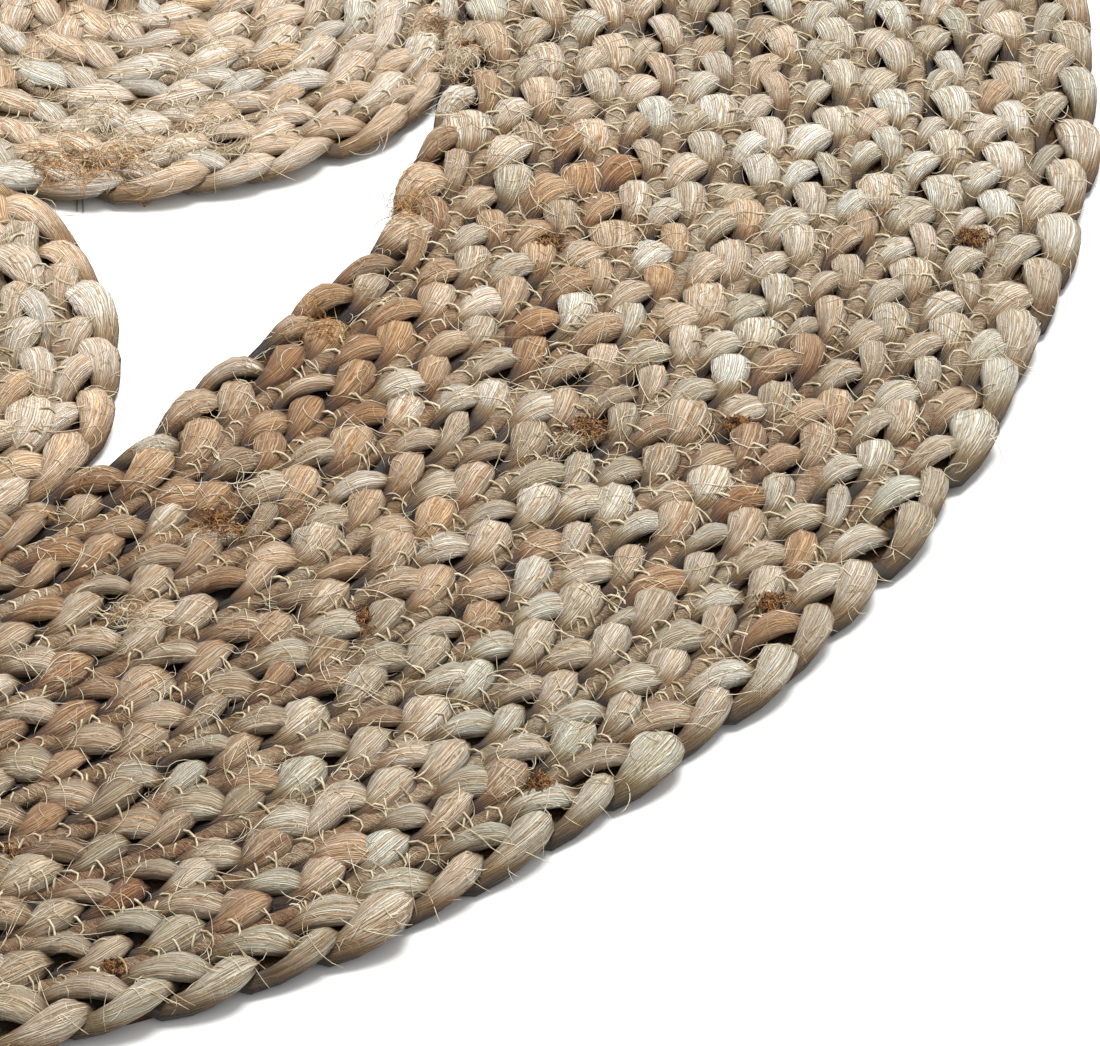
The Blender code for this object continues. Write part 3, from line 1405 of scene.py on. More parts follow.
@dataclass
class SeamFilling:
    """Loose jute that the sewing packs into the seam between two rows."""

    gauge: Gauge
    rng: np.random.Generator

    step: float = 13 * MM
    half_width: float = 4.6 * MM
    half_depth: float = 2.6 * MM
    middle_share: float = 0.50        # height of its middle, as a share of the thickness
    section: Section = Section((0, 50, 90, 130, 180, 270))
    tucked: float = 0.3               # what is left of its width at an open end
    width_spread: float = 0.14
    height_spread: float = 0.35 * MM
    aside_spread: float = 0.5 * MM
    light: float = 0.50               # its tone
    light_spread: float = 0.06
    warmth: float = 0.5               # its tint
    warmth_spread: float = 0.12
    slant: float = 0.45               # how far its fibres lean from straight across the seam

    def build(self, tubes: TubeMesh, seam: RowPath) -> None:
        """Add one seam's filling.

        Args:
            tubes: The mesh that gathers it.
            seam: The seam's line.
        """
        count = int(seam.length / self.step)
        run = np.arange(count) * seam.length / count
        spots = seam.at(run)
        swell = 1 + self.rng.normal(0, self.width_spread, (count, 1))
        width = self.half_width * swell * np.minimum(1, spots.squeeze)[:, None]
        if not seam.closed:
            ends = np.minimum(1, np.minimum(run, seam.length - run) / Braid.tuck)
            width = width * (self.tucked + (1 - self.tucked) * ends)[:, None]
        height = self.middle_share * self.gauge.thickness
        height = height + self.rng.normal(0, self.height_spread, count)
        turn = self.section.turn
        aside = self.rng.normal(0, self.aside_spread, (count, 1)) + width * np.cos(turn)
        flat = spots.middle[:, None] + spots.outward[:, None] * aside[:, :, None]
        upright = height[:, None] + self.half_depth * swell * np.sin(turn)
        rings = np.concatenate([flat, upright[:, :, None]], axis=-1)
        tubes.add(rings, seam.closed, self._facts(rings, run, aside, spots.middle))

    def _facts(self, rings: Array, run: Array, aside: Array, middle: Array) -> dict[Fact, Array]:
        """Work out what the jute finish needs at each point.

        Args:
            rings: The filling's points.
            run: Distance along the seam at each ring.
            aside: How far each point lies from the seam's line.
            middle: Points of the seam's line.

        Returns:
            Per-point values; the fibres cross the seam at a slant.
        """
        place = np.repeat(run[:, None], rings.shape[1], axis=1)
        slant = self.slant
        fibre = np.stack([aside + slant * place, place - slant * aside, rings[:, :, 2]], axis=-1)
        lot_tone, lot_tint = lot_at(middle)
        tone = self.light + self.rng.normal(0, self.light_spread, len(run)) + lot_tone
        tint = self.warmth + self.rng.normal(0, self.warmth_spread, len(run)) + lot_tint
        return strand_facts(fibre, tone, tint, self.gauge.height_share(rings))


# ---- pieces of the rug


def dress(piece: Object, node: str) -> Object:
    """Let a piece ride on the rug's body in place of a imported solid.

    Args:
        piece: The new piece.
        node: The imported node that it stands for.

    Returns:
        The same piece.
    """
    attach(piece, BODY)
    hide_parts(node)
    return piece


@dataclass
class Ground:
    """A flat plate deep between a sewn piece's strands, dark with painted shade."""

    name: str
    outline: Array
    hole: Array | None
    thickness: float
    top_share: float = 0.36           # its top, as a share of the rug's thickness
    bottom: float = 0.4 * MM
    pinhole: float = 0.02             # size of the place where a whole plate's faces meet

    def build(self, material: Material) -> Object:
        """Make a closed flat plate from its outline.

        Args:
            material: The plate's finish.

        Returns:
            The plate, linked to the scene.
        """
        inner = self.hole
        if inner is None:
            middle = self.outline.mean(axis=0)
            inner = middle + self.pinhole * (self.outline - middle)
        many = len(self.outline)
        top = self.top_share * self.thickness
        levels = [(self.outline, top), (self.outline, self.bottom)]
        levels += [(inner, self.bottom), (inner, top)]
        points = np.concatenate([np.column_stack([p, np.full(many, z)]) for p, z in levels])
        faces = []
        for level in range(4):
            low, high = level * many, (level + 1) % 4 * many
            for i in range(many):
                j = (i + 1) % many
                faces.append((low + i, high + i, high + j, low + j))
        return add_mesh(self.name, points, faces, material)

    @staticmethod
    def _polygon_area(points: Array) -> float:
        """Area inside a polygon."""
        x, y = points.T
        return 0.5 * abs(float(np.dot(x, np.roll(y, -1)) - np.dot(y, np.roll(x, -1))))


class SewnPiece:
    """What the ring and the discs share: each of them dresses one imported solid."""

    layout: Layout
    seed: int
    name: str
    node: str
    slot: str
    filling_seed = 99

    def dressed(self, tubes: TubeMesh, material: Material) -> Object:
        """Finish a mesh and let it ride in place of the solid."""
        return dress(tubes.finish(material), self.node)

    def fill(self, seams: Sequence[RowPath], jute: Material) -> Object:
        """Pack loose jute along some lines.

        Args:
            seams: The lines.
            jute: The finish of the loose jute.

        Returns:
            The filling, as one piece.
        """
        tubes = TubeMesh(f"{self.name}_seam_filling")
        rng = np.random.default_rng([self.seed, self.filling_seed])
        packer = SeamFilling(self.layout.gauge, rng)
        for seam in seams:
            packer.build(tubes, seam)
        return self.dressed(tubes, jute)

    def lay_ground(
        self, outline: Array, hole: Array | None, across: float, material: Material
    ) -> Object:
        """Lay the flat plate of painted shade between the strands on the floor.

        Args:
            outline: Its outer edge.
            hole: Its inner edge, if it has one.
            across: Its width; not used.
            material: Its finish.

        Returns:
            The plate.
        """
        plate = Ground(f"{self.name}_ground", outline, hole, self.layout.thickness)
        piece = dress(plate.build(material), self.node)
        return piece


@dataclass
class OuterRing(SewnPiece):
    """Eleven closed rows of braid round the rug's hole."""

    layout: Layout

    seed: int = 11
    name: str = "ring"
    node: str = "outer_ring"
    slot: str = "ring_jute"
    rim_lobes: float = 1.30           # the rim's lobes are longer, in pitches
    hole_wander: float = 1.5          # the row round the hole is this much more uneven
    path_points: int = 1440
    ground_points: int = 240
    ground_past: float = 0.38         # how far the ground passes the edge rows' middles
    # Colours at the rim, and what is added to them up to the hole
    light: Range = (0.57, -0.05)
    rusty: Range = (0.04, 0.09)
    creamy: Range = (0.14, -0.04)
    warmth: Range = (0.32, 0.20)
    rim_shading: float = 0.80         # the rim's lobes lie open to the light

    @property
    def last_row(self) -> int:
        """Number of the row round the hole."""
        return self.layout.ring_rows - 1

    def row_radius(self, row: float) -> float:
        """Even radius of a row's middle; row 0 is the rim's."""
        pitch = self.layout.gauge.pitch
        return self.layout.rim_radius - (self.layout.edge_bulge + row) * pitch

    def path(self, row: float) -> RowPath:
        """Middle line of a row, or of a seam at a half number.

        Args:
            row: Row number from the rim inwards.

        Returns:
            The closed path.
        """
        angle = full_turn(self.path_points)
        radius = self.layout.ring_radius(self.row_radius(row), angle)
        return RowPath.through(
            radius[:, None] * rays(angle),
            closed=True,
            outer_edge=float(row == 0),
            inner_edge=float(row == self.last_row),
        )

    def seams(self) -> list[RowPath]:
        """Lines of the seams between the rows, from the rim inwards."""
        return [self.path(row + 0.5) for row in range(self.last_row)]

    def shades(self, row: int) -> Shades:
        """Colours of a row: the rows near the hole are browner and rustier.

        Args:
            row: Row number from the rim inwards.

        Returns:
            The row's colours.
        """
        inward = row / self.last_row
        light, rusty, creamy, warmth = (
            rim + more * inward
            for rim, more in (self.light, self.rusty, self.creamy, self.warmth)
        )
        shading = self.rim_shading if row == 0 else 1.0
        return Shades(light, rusty, creamy, warmth, shading)

    def rows(self, jute: Material) -> list[Object]:
        """Build the braid rows, one piece each.

        Args:
            jute: The strands' finish.

        Returns:
            The rows, from the rim inwards.
        """
        made = []
        for row in range(self.layout.ring_rows):
            tubes = TubeMesh(f"ring_braid_{row + 1:02d}")
            Braid(
                self.layout.gauge,
                self.path(row),
                np.random.default_rng([self.seed, row]),
                self.shades(row),
                wander=self.hole_wander if row == self.last_row else 1.0,
                lobe_spacing=self.rim_lobes * self.layout.gauge.pitch if row == 0 else None,
            ).build(tubes)
            made.append(self.dressed(tubes, jute))
        return made

    def filling(self, jute: Material) -> Object:
        """Pack loose jute into the ring's seams."""
        return self.fill(self.seams(), jute)

    def ground(self, material: Material) -> Object:
        """Build the ring's flat plate of painted shade between the strands."""
        past = self.ground_past * self.layout.gauge.pitch
        angle = full_turn(self.ground_points)
        outer = self.layout.ring_radius(self.row_radius(0), angle) + past
        inner = self.layout.ring_radius(self.row_radius(self.last_row), angle) - past
        ray = rays(angle)
        across = 2 * float(outer.max())
        return self.lay_ground(ray * outer[:, None], ray * inner[:, None], across, material)


@dataclass
class InnerDisc(SewnPiece):
    """A disc of braid that runs out from its middle in a spiral."""

    layout: Layout
    number: int

    seed: int = 37
    slot: str = "disc_jute"
    all_turns: tuple[int, ...] = (6, 5, 5, 6, 5)      # two discs are wound of narrower braid
    lobe_pitches: float = 1.25
    fullness: float = 1.14
    shades: Shades = Shades(0.86, rusty=0.01, creamy=0.12, warmth=0.68, shading=0.66, spread=0.06)
    points_a_turn: int = 240
    ground_points: int = 96
    ground_short: float = 0.32        # how far the ground falls short of the edge, in pitches
    start_turn: float = 0.10
    heart: float = 6.6 * MM           # radius of the curl of loose jute in the middle
    heart_points: int = 24
    taper: float = 0.16               # share of the last turn over which the end narrows
    end_width: float = 0.18           # what is left of its width there
    edge_starts: float = 0.08         # share of a turn over which the edge becomes free
    # Direction in which the first disc's braid starts, and what the next one's adds, in radians
    start: float = 62.9
    next_start: float = 2.4

    @property
    def node(self) -> str:
        """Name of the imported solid."""
        return f"disc_{self.number + 1}"

    @property
    def name(self) -> str:
        """What the names of its pieces start with."""
        return self.node

    @property
    def turns(self) -> int:
        """Whole turns of the spiral."""
        return self.all_turns[self.number]

    @property
    def middle(self) -> Array:
        """Its middle."""
        return self.layout.disc_middle(self.number)

    def _count(self, turn: Array) -> Array:
        """How many rows fit between the middle and the edge at a place in a turn."""
        return self.turns + turn * (1 - self.end_width) - 0.5 + self._end_width(turn)

    def _end_width(self, turn: Array) -> Array:
        """Width of the outermost braid: it narrows to its tucked end."""
        left = np.clip((1 - turn) / self.taper, 0, 1)
        return self.end_width + (1 - self.end_width) * left * left * (3 - 2 * left)

    def path(self, beside: float = 0.0) -> RowPath:
        """Middle line of the spiral, or of the seam outside it.

        Args:
            beside: How many rows the line lies further out, 0 for the braid's middle.

        Returns:
            The open path, from the disc's middle outwards.
        """
        first = self.start_turn + beside
        last = self.turns + 1 - 2 * beside
        turns = np.linspace(first, last, int((last - first) * self.points_a_turn))
        part = np.where(turns >= self.turns + 1, 1.0, turns % 1.0)
        outermost = turns >= self.turns
        end_width = np.where(outermost, self._end_width(part), 1.0)
        place = np.where(outermost, turns - 0.5 + end_width / 2, turns + beside)
        share = np.minimum(place / self._count(part), 1 - end_width / 2 / self._count(part))
        angle = 2 * math.pi * turns + self.start + self.number * self.next_start
        turn = angle - self.layout.disc_angle(self.number)
        whole = self.layout.disc_radius(self.number, turn)
        give = 1 - self.layout.disc_limit(self.number, turn) / whole
        radius = whole * share * (1 - give * share)
        points = self.middle + radius[:, None] * rays(angle)
        pitch = whole / self._count(part) * (1 - 2 * give * share)
        squeeze = pitch / self.layout.gauge.pitch * end_width
        edge = np.clip((turns - self.turns) / self.edge_starts + 1, 0, 1)
        return RowPath.through(points, closed=False, squeeze=squeeze, outer_edge=edge)

    def seams(self) -> list[RowPath]:
        """Line of the spiral's one seam."""
        return [self.path(beside=0.5)]

    def braid(self, jute: Material) -> Object:
        """Build the spiral braid."""
        tubes = TubeMesh(f"{self.name}_braid")
        Braid(
            self.layout.gauge,
            self.path(),
            np.random.default_rng([self.seed, self.number]),
            self.shades,
            lobe_spacing=self.lobe_pitches * self.layout.gauge.pitch,
            fullness=self.fullness,
        ).build(tubes)
        return self.dressed(tubes, jute)

    def filling(self, jute: Material) -> Object:
        """Pack loose jute into the spiral's seam and into its very middle."""
        curl = self.middle + self.heart * rays(full_turn(self.heart_points))
        return self.fill([*self.seams(), RowPath.through(curl, closed=True)], jute)

    def ground(self, material: Material) -> Object:
        """Build the disc's flat plate of painted shade between the strands."""
        turn = full_turn(self.ground_points)
        angle = turn + self.layout.disc_angle(self.number)
        short = self.ground_short * self.layout.gauge.pitch
        radius = self.layout.disc_limit(self.number, turn) - short
        outline = self.middle + rays(angle) * radius[:, None]
        return self.lay_ground(outline, None, 2 * float(radius.max()), material)


# ---- thread and loose fibre


@dataclass
class Relief:
    """Finds how high the braid lies at a place."""

    pieces: Sequence[Object]
    start: float = 0.1                # it looks down from this height

    def __post_init__(self) -> None:
        """Index the pieces."""
        graph = bpy.context.evaluated_depsgraph_get()
        self.trees = [BVHTree.FromObject(piece, graph) for piece in self.pieces]

    def height(self, x: float, y: float) -> float:
        """Return the height of the braid there, or 0 beside it."""
        best = 0.0
        for tree in self.trees:
            hit = tree.ray_cast(Vector((x, y, self.start)), -Vector(UP))[0]
            if hit is not None and hit.z > best:
                best = hit.z
        return best

    def heights(self, points: Array) -> Array:
        """Return the heights at many places."""
        return np.array([self.height(float(x), float(y)) for x, y in points])


@dataclass
class SeamStitching:
    """Thread that joins one row of braid to the next.

    It crosses the seam in slack arcs, one after the other. Here and there it shows again
    between them in a short stroke; elsewhere it runs hidden between the strands.
    """

    gauge: Gauge
    rng: np.random.Generator
    relief: Relief

    stitch: float = 10.4 * MM         # from one stitch to the next
    start_spread: float = 1.0 * MM
    reach: float = 4.2 * MM           # how far it crosses to either side of the seam
    radius: float = 0.50 * MM
    skipped: float = 0.08             # share of the stitches that lie hidden in the jute
    corners: int = 3
    # How unevenly it is sewn: shares of the length along, of the reach and of the radius
    along_range: Range = (0.4, 1.6)
    across_range: Range = (0.75, 1.2)
    radius_range: Range = (0.8, 1.15)
    across_spread: float = 0.5 * MM
    rise_spread: float = 0.15 * MM
    slack: float = 0.4 * MM           # how far it hangs below a straight line between lobes
    lowest: float = 2 * MM
    highest_over: float = 1 * MM      # above the rug's top
    # An arc across the seam, as rows of the share of the stitch along the seam, the share of
    # the reach across it and the rise in metres
    arc: Shape = (
        (-0.10, -1.05, -1.5 * MM),
        (0.14, -0.60, 0.30 * MM),
        (0.24, 0.05, 0.55 * MM),
        (0.18, 0.70, 0.30 * MM),
        (-0.04, 1.15, -1.5 * MM),
    )
    # Some thread goes back under the braid in a short stroke along the seam
    stroke: Shape = (
        (0.40, 0.9, -1.5 * MM),
        (0.50, 0.35, 0.2 * MM),
        (0.64, -0.25, 0.2 * MM),
        (0.80, -0.8, -1.5 * MM),
    )
    strokes: float = 0.50             # share of the stitches that have one

    def build(self, owner: SewnPiece, thread: Material) -> Object:
        """Sew the seams of the ring or of a disc.

        Args:
            owner: The ring or the disc.
            thread: The thread's finish.

        Returns:
            Its sewing thread, as one piece.
        """
        tubes = TubeMesh(f"{owner.name}_sewing_thread")
        for seam in owner.seams():
            self._sew(tubes, seam)
        return owner.dressed(tubes, thread)

    def _sew(self, tubes: TubeMesh, seam: RowPath) -> None:
        """Lay the thread along a seam.

        Args:
            tubes: The mesh that gathers the thread.
            seam: The seam's line.
        """
        stitches = int(seam.length / self.stitch)
        step = seam.length / stitches
        for number in range(stitches):
            start = number * step + self.rng.normal(0, self.start_spread)
            if self.rng.uniform() > self.skipped:
                self._lay(tubes, seam, start, step, self.arc)
            if self.rng.uniform() < self.strokes:
                self._lay(tubes, seam, start, step, self.stroke)

    def _lay(self, tubes: TubeMesh, seam: RowPath, start: float, step: float, shape: Shape) -> None:
        """Lay one visible length of thread; both its ends go down into the jute.

        Args:
            tubes: The mesh that gathers the thread.
            seam: The seam's line.
            start: Where the stitch starts along the seam.
            step: Length of a stitch.
            shape: Rows of the share along, the share across and the rise.
        """
        rng = self.rng
        table = np.array(shape)
        along = start + table[:, 0] * step * rng.uniform(*self.along_range)
        across = table[:, 1] * self.reach * rng.uniform(*self.across_range)
        across = across + rng.normal(0, self.across_spread)
        spots = seam.at(along)
        aside = across * np.minimum(1, spots.squeeze)
        places = spots.middle + spots.outward * aside[:, None]
        height = self.relief.heights(places)
        pulled = (np.roll(height, 1) + np.roll(height, -1)) / 2
        height[1:-1] = np.maximum(height, pulled - self.slack)[1:-1]
        height = height + table[:, 2] + rng.normal(0, self.rise_spread)
        highest = self.gauge.thickness + self.highest_over
        line = np.column_stack([places, np.clip(height, self.lowest, highest)])
        radii = np.full(len(line), self.radius * rng.uniform(*self.radius_range))
        tubes.add_line(line, radii, self.corners)


@dataclass(frozen=True)
class Wisps:
    """How long, thick and springy a kind of loose fibre is."""

    length_mm: Range = (9.0, 30.0)
    radius_mm: Range = (0.12, 0.22)
    bend: float = 1.5
    rise_mm: float = 1.3
    rings: int = 7


SHORT_WISPS = Wisps((4.0, 13.0), (0.11, 0.19), 1.6, 1.0, 5)
CURLY_WISPS = Wisps((5.0, 15.0), (0.10, 0.18), 4.0, 1.8, 6)


@dataclass(frozen=True)
class Matting:
    """A spot where loose fibre has felted together: its place, reach and hair count."""

    x: float
    y: float
    reach_mm: float
    count: int


PALE_MATTING = (
    Matting(0.222, -0.083, 17.0, 110),
    Matting(0.203, -0.066, 14.0, 80),
    Matting(0.248, -0.070, 14.0, 60),
    Matting(0.348, -0.029, 13.0, 80),
    Matting(0.338, -0.010, 10.0, 50),
    Matting(0.232, -0.350, 13.0, 60),
    Matting(0.385, -0.255, 12.0, 45),
    Matting(-0.180, 0.110, 20.0, 60),
    Matting(-0.300, -0.230, 18.0, 50),
)
GOLDEN_MATTING = (
    Matting(0.187, -0.094, 10.0, 70),
    Matting(0.203, -0.096, 9.0, 80),
    Matting(0.219, -0.094, 9.0, 60),
    Matting(0.336, -0.003, 8.0, 40),
    Matting(0.323, -0.118, 9.0, 50),
    Matting(0.300, -0.190, 9.0, 50),
    Matting(0.262, -0.300, 10.0, 60),
    Matting(0.100, 0.240, 12.0, 50),
)


@dataclass
class StrayFibres:
    """Loose jute hairs that lie on the rug or curl up from it."""

    ring: OuterRing
    rng: np.random.Generator
    relief: Relief

    long_hairs: int = 2400
    short_hairs: int = 4000
    pale_fringe: int = 350            # short fibres along the hole edge
    golden_fringe: int = 550
    corners: int = 3
    thin_ends: Steps = (0.5, 0.9, 1.0, 1.0, 0.9, 0.4)
    # The side of the rug that the photograph shows is the more worn and hairy one
    worn: tuple[Range, Range] = ((0.15, 0.60), (-0.60, 0.03))
    worn_share: float = 0.48
    lowest: float = 3 * MM            # a fibre lies only where there is braid this high
    fringe_mm: Range = (-4.0, 15.0)   # how far in from the edge row's middle a fringe reaches
    # Where a fibre passes over a gap it stays this far below its middle, above the floor
    gap: float = 2 * MM
    droop: float = 2 * MM
    floor_clear: float = 0.6 * MM
    blur: Place = (0.25, 0.5, 0.25)   # how its height is smoothed along it
    blurs: int = 2
    sink: float = 0.5 * MM            # how far it presses into a lobe
    clear: float = 0.1 * MM
    curling: float = 0.10             # share of the fibres with an end that curls up
    curl_mm: Place = (0.3, 1.3, 3.0)
    curl_range: Range = (0.4, 1.2)
    highest_over: float = 4 * MM      # above the rug's top

    def build(self, straw: Material, gold: Material) -> None:
        """Build the long hairs, the short fuzz and the golden fuzz, one piece each.

        Args:
            straw: Finish of the pale fibres.
            gold: Finish of the golden ones.
        """
        hairs = TubeMesh("stray_fibres")
        self._lay_many(hairs, self.long_hairs, Wisps(), self._anywhere)
        self.ring.dressed(hairs, straw)
        hairs = TubeMesh("short_fuzz")
        self._lay_many(hairs, self.short_hairs, SHORT_WISPS, self._anywhere)
        self._felt(hairs, PALE_MATTING, self.pale_fringe)
        self.ring.dressed(hairs, straw)
        hairs = TubeMesh("golden_fuzz")
        self._felt(hairs, GOLDEN_MATTING, self.golden_fringe)
        self.ring.dressed(hairs, gold)

    def _felt(self, tubes: TubeMesh, spots: Sequence[Matting], fringe: int) -> None:
        """Tangle fibres together over some spots and along the hole edge.

        Args:
            tubes: The mesh that gathers them.
            spots: The spots.
            fringe: How many lie along the edge.
        """
        for spot in spots:
            self._lay_many(tubes, spot.count, CURLY_WISPS, lambda spot=spot: self._near(spot))
        edge = self.ring.path(self.ring.last_row)
        self._lay_many(tubes, fringe, CURLY_WISPS, lambda: self._along(edge))

    def _lay_many(
        self, tubes: TubeMesh, count: int, wisps: Wisps, draw: Callable[[], Array]
    ) -> None:
        """Lay fibres wherever there is braid under them.

        Args:
            tubes: The mesh that gathers them.
            count: How many there are.
            wisps: What they are like.
            draw: Draws a place.
        """
        made = 0
        while made < count:
            place = draw()
            if self.relief.height(*place) > self.lowest:
                self._lay(tubes, place, wisps)
                made += 1

    def _anywhere(self) -> Array:
        """Draw a place on the rug."""
        rim = self.ring.layout.rim_radius
        while True:
            if self.rng.uniform() < self.worn_share:
                place = np.array([self.rng.uniform(*side) for side in self.worn])
            else:
                place = self.rng.uniform(-1, 1, 2) * rim
            if np.hypot(*place) < rim:
                return place

    def _near(self, spot: Matting) -> Array:
        """Draw a place near a spot's middle."""
        offset = self.rng.normal(0, spot.reach_mm * MM / 2, 2)
        return np.array([spot.x, spot.y]) + offset

    def _along(self, edge: RowPath) -> Array:
        """Draw a place along the row at an edge."""
        spot = edge.at(self.rng.uniform(0, edge.length, 1))
        return spot.middle[0] - spot.outward[0] * self.rng.uniform(*self.fringe_mm) * MM

    def _lay(self, tubes: TubeMesh, place: Array, wisps: Wisps) -> None:
        """Lay one fibre.

        Args:
            tubes: The mesh that gathers it.
            place: Where its middle is.
            wisps: What it is like.
        """
        rng = self.rng
        count = wisps.rings
        length = rng.uniform(*wisps.length_mm) * MM
        heading = rng.uniform(0, 2 * math.pi)
        t = np.linspace(-0.5, 0.5, count)
        angle = heading + rng.normal(0, wisps.bend) * t
        moves = length / (count - 1) * rays(angle)
        flat = place + np.cumsum(moves, axis=0) - moves.sum(axis=0) / 2
        height = self.relief.heights(flat)
        base = self.relief.height(*place)
        height = np.where(height < self.gap, max(base - self.droop, self.floor_clear), height)
        smooth = height
        for _ in range(self.blurs):
            smooth = np.convolve(np.pad(smooth, 1, mode="edge"), self.blur, mode="valid")
        arch = rng.uniform(0.0, wisps.rise_mm) * MM * np.cos(math.pi * t)
        height = np.maximum(smooth, height - self.sink) + arch + self.clear
        if rng.uniform() < self.curling:
            curl = np.array(self.curl_mm) * MM * rng.uniform(*self.curl_range)
            height[-len(curl):] += curl
        highest = self.ring.layout.thickness + self.highest_over
        line = np.column_stack([flat, np.minimum(height, highest)])
        thin = np.interp(t + 0.5, np.linspace(0, 1, len(self.thin_ends)), self.thin_ends)
        radii = rng.uniform(*wisps.radius_mm) * MM * thin
        tubes.add_line(line, radii, self.corners)


# Points of thread ends in millimetres, from under a disc outwards
GREY_ENDS = (
    ((198.2, -94.0, 4.0), (198.1, -100.5, 2.2), (197.6, -105.5, 0.8), (197.9, -109.7, 0.6)),
    ((199.2, -94.0, 4.0), (199.6, -100.5, 2.2), (200.0, -105.5, 0.8), (200.3, -110.3, 0.6)),
    ((184.2, -99.0, 3.0), (184.4, -105.0, 1.2), (185.0, -111.5, 0.6), (185.6, -117.0, 0.6)),
    ((183.6, -97.5, 3.6), (185.7, -100.5, 2.0), (187.4, -103.0, 0.8), (188.7, -104.8, 0.6)),
)
GOLDEN_ENDS = (
    ((209.5, -91.0, 10.5), (214.5, -97.5, 6.5), (219.3, -102.4, 2.0), (224.2, -107.3, 0.7)),
    ((218.5, -101.5, 2.4), (221.5, -103.5, 1.2), (224.5, -105.9, 0.8), (225.6, -106.0, 0.6)),
)


@dataclass
class LooseEnds:
    """Ends of sewing thread that hang out under a disc onto the floor."""

    name: str
    ends: Sequence[Shape]

    radius: float = 0.36 * MM
    corners: int = 5

    def build(self, disc: InnerDisc, thread: Material) -> Object:
        """Lay the thread ends of one colour.

        Args:
            disc: The disc that they hang out under.
            thread: Their finish.

        Returns:
            The ends, as one piece.
        """
        tubes = TubeMesh(self.name)
        for end in self.ends:
            line = np.array(end) * MM
            tubes.add_line(line, np.full(len(line), self.radius), self.corners)
        return disc.dressed(tubes, thread)


@dataclass(frozen=True)
class Tuft:
    """A felted knot of barky fibre: its row, its direction and its size."""

    row: float
    angle_deg: float
    size_mm: float


SHOWN_TUFTS = (
    Tuft(5.1, -32.0, 10.0),
    Tuft(3.1, -28.4, 8.0),
    Tuft(5.0, -48.0, 10.0),
    Tuft(8.2, -49.1, 11.0),
    Tuft(0.4, -48.9, 7.0),
    Tuft(0.5, -36.5, 9.0),
    Tuft(7.9, -19.9, 9.0),
    Tuft(1.0, -14.2, 9.0),
    Tuft(10.3, -2.8, 8.0),
    Tuft(3.3, -67.2, 10.0),
    Tuft(0.5, -65.8, 7.0),
)


@dataclass
class FeltedTufts:
    """Rust-brown tufts where barky fibre has worked out of the braid."""

    ring: OuterRing
    rng: np.random.Generator
    relief: Relief

    hairs: int = 40
    shown_hairs: int = 110            # in a tuft that the photograph shows
    elsewhere: int = 20               # tufts outside the photograph, with their limits
    elsewhere_deg: Range = (6, 285)
    elsewhere_rows: Range = (0, 10)
    elsewhere_mm: Range = (5, 10)
    corners: int = 3
    radius_mm: Range = (0.16, 0.35)
    thin_ends: Steps = (0.6, 1.0, 1.0, 0.8, 0.4)
    # Spread of the hairs' starts and range of their lengths, as shares of the tuft's size
    spread: float = 0.26
    length_range: Range = (0.25, 0.7)
    bend: float = 2.4
    rise_mm: float = 1.8              # above the braid in the tuft's middle
    fall_mm: float = 2.4              # it lies lower by this much at a tuft's size away
    rough_mm: float = 0.7
    lowest: float = 3 * MM

    def build(self, bark: Material) -> Object:
        """Build the tufts that the photograph shows, and more of them elsewhere.

        Args:
            bark: The hairs' finish.

        Returns:
            All the tufts, as one piece.
        """
        tubes = TubeMesh("felted_tufts")
        for tuft in SHOWN_TUFTS:
            self._tangle(tubes, tuft, self.shown_hairs)
        for tuft in self._elsewhere():
            self._tangle(tubes, tuft, self.hairs)
        return self.ring.dressed(tubes, bark)

    def _elsewhere(self) -> list[Tuft]:
        """Draw tufts for the part of the rug outside the photograph."""
        found = []
        for _ in range(self.elsewhere):
            angle = self.rng.uniform(*self.elsewhere_deg)
            row = self.rng.uniform(*self.elsewhere_rows)
            found.append(Tuft(row, angle, self.rng.uniform(*self.elsewhere_mm)))
        return found

    def _tangle(self, tubes: TubeMesh, tuft: Tuft, hairs: int) -> None:
        """Tangle a tuft's hairs.

        Args:
            tubes: The mesh that gathers them.
            tuft: Where it is and how large.
            hairs: How many hairs it has.
        """
        rng = self.rng
        angle = math.radians(tuft.angle_deg)
        even = self.ring.row_radius(tuft.row)
        radius = float(self.ring.layout.ring_radius(even, np.array([angle]))[0])
        middle = radius * np.array([math.cos(angle), math.sin(angle)])
        size = tuft.size_mm * MM
        base = self.relief.height(*middle)
        count = len(self.thin_ends)
        for _ in range(hairs):
            start = middle + rng.normal(0, size * self.spread, 2)
            heading = rng.uniform(0, 2 * math.pi)
            t = np.linspace(0, 1, count)
            turn = heading + rng.normal(0, self.bend) * t
            moves = rng.uniform(*self.length_range) * size / (count - 1) * rays(turn)
            flat = start + np.cumsum(moves, axis=0)
            away = np.hypot(*(flat - middle).T) / size
            rise = base + (self.rise_mm - self.fall_mm * away) * MM
            rise = rise + rng.normal(0, self.rough_mm, count) * MM
            line = np.column_stack([flat, np.maximum(rise, self.lowest)])
            radii = rng.uniform(*self.radius_mm) * MM * np.array(self.thin_ends)
            tubes.add_line(line, radii, self.corners)


# ---- studio


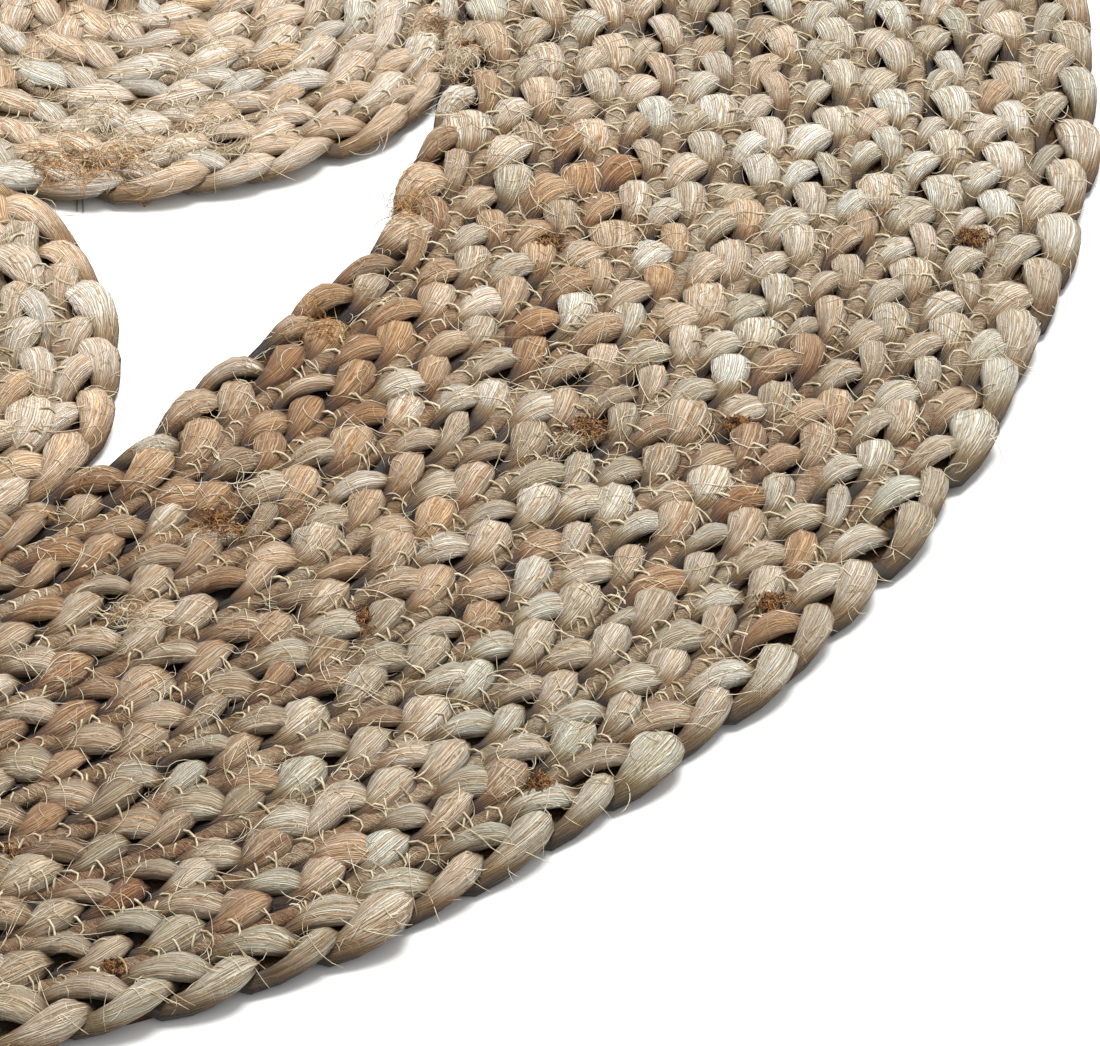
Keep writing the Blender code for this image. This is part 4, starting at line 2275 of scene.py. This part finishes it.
@dataclass(frozen=True)
class Studio:
    """Camera, light and floor, placed to the photograph.

    The camera was fitted to the rim, the rows' middles and the discs' edges.
    """

    photo_width_px: int = 1100
    focal_px: float = 6036.7
    sensor_mm: float = 36.0
    clip: Range = (0.05, 50.0)
    pitch_deg: float = 42.46          # how far the camera looks down
    height: float = 1.4856            # above the level that the fit was made for
    fit_level: float = 0.009
    aside: float = 0.3817
    back: float = 1.9221
    key_place: Place = (0.66, 1.0, 3.05)
    key_size: float = 1.9
    key_watts: float = 166.0
    fill_color: str = "#ffffff"
    fill: float = 0.66                # strength of the light from all round
    floor_half: float = 6.0

    def camera(self) -> None:
        """Place the camera where the photograph was taken from."""
        data = bpy.data.cameras.new("camera")
        data.sensor_width = self.sensor_mm
        data.lens = self.sensor_mm * self.focal_px / self.photo_width_px
        data.clip_start, data.clip_end = self.clip
        camera = add_object("camera", data)
        camera.location = (self.aside, -self.back, self.height + self.fit_level)
        camera.rotation_euler = (math.radians(90 - self.pitch_deg), 0.0, 0.0)
        bpy.context.scene.camera = camera

    def lights(self) -> None:
        """Hang a soft key behind and right of the rug, and fill from all round."""
        data = bpy.data.lights.new("key", "AREA")
        data.energy = self.key_watts
        data.size = self.key_size
        key = add_object("key", data)
        key.location = self.key_place
        key.rotation_euler = (-Vector(self.key_place)).to_track_quat("-Z", "Y").to_euler()
        world = bpy.data.worlds.new("studio")
        bpy.context.scene.world = world
        world.use_nodes = True
        background = world.node_tree.nodes["Background"]
        background.inputs["Color"].default_value = linear(self.fill_color)
        background.inputs["Strength"].default_value = self.fill

    @staticmethod
    def exposure() -> None:
        """Show colours as the hex values give them, without a film look."""
        bpy.context.scene.view_settings.view_transform = "Standard"

    def floor(self) -> None:
        """Lay a wide pale floor just under the rug."""
        half = self.floor_half
        corners = np.array([(-half, -half, 0), (half, -half, 0), (half, half, 0), (-half, half, 0)])
        floor = add_mesh("floor", corners, [(0, 1, 2, 3)], FloorFinish().build())


def main() -> None:
    """Build the rug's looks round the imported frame."""
    logging.basicConfig(level=logging.INFO, format="%(name)s: %(message)s")
    studio = Studio()
    studio.camera()
    studio.lights()
    studio.exposure()
    studio.floor()

    layout = Layout.from_frame()
    jute = JuteFinish().build()
    shaded_jute = GroundFinish().build()
    ring = OuterRing(layout)
    discs = [InnerDisc(layout, number) for number in range(layout.discs)]
    parts = [ring, *discs]
    braids = [*ring.rows(jute), *(disc.braid(jute) for disc in discs)]
    fillings = [part.filling(jute) for part in parts]
    for part in parts:
        part.ground(shaded_jute)

    relief = Relief([*braids, *fillings])
    thread = YarnFinish("sewing_thread", "#cfc2a6", "#9d8a69").build()
    stitching = SeamStitching(layout.gauge, np.random.default_rng(STITCHING_SEED), relief)
    for part in parts:
        stitching.build(part, thread)

    straw = YarnFinish("loose_jute_fibre", "#e2d7bf", "#b8a17b").build()
    gold = YarnFinish("golden_jute_fibre", "#c39a66", "#7d5632").build()
    StrayFibres(ring, np.random.default_rng(FIBRE_SEED), relief).build(straw, gold)

    grey = YarnFinish("weathered_thread", "#9a9d8e", "#6d7265").build()
    LooseEnds("grey_thread_ends", GREY_ENDS).build(discs[0], grey)
    LooseEnds("golden_thread_ends", GOLDEN_ENDS).build(discs[0], gold)

    bark = YarnFinish("barky_jute_fibre", "#9a6e43", "#3c2412", mottle_mm=3.0).build()
    FeltedTufts(ring, np.random.default_rng(TUFT_SEED), relief).build(bark)


if __name__ == "__main__":
    main()
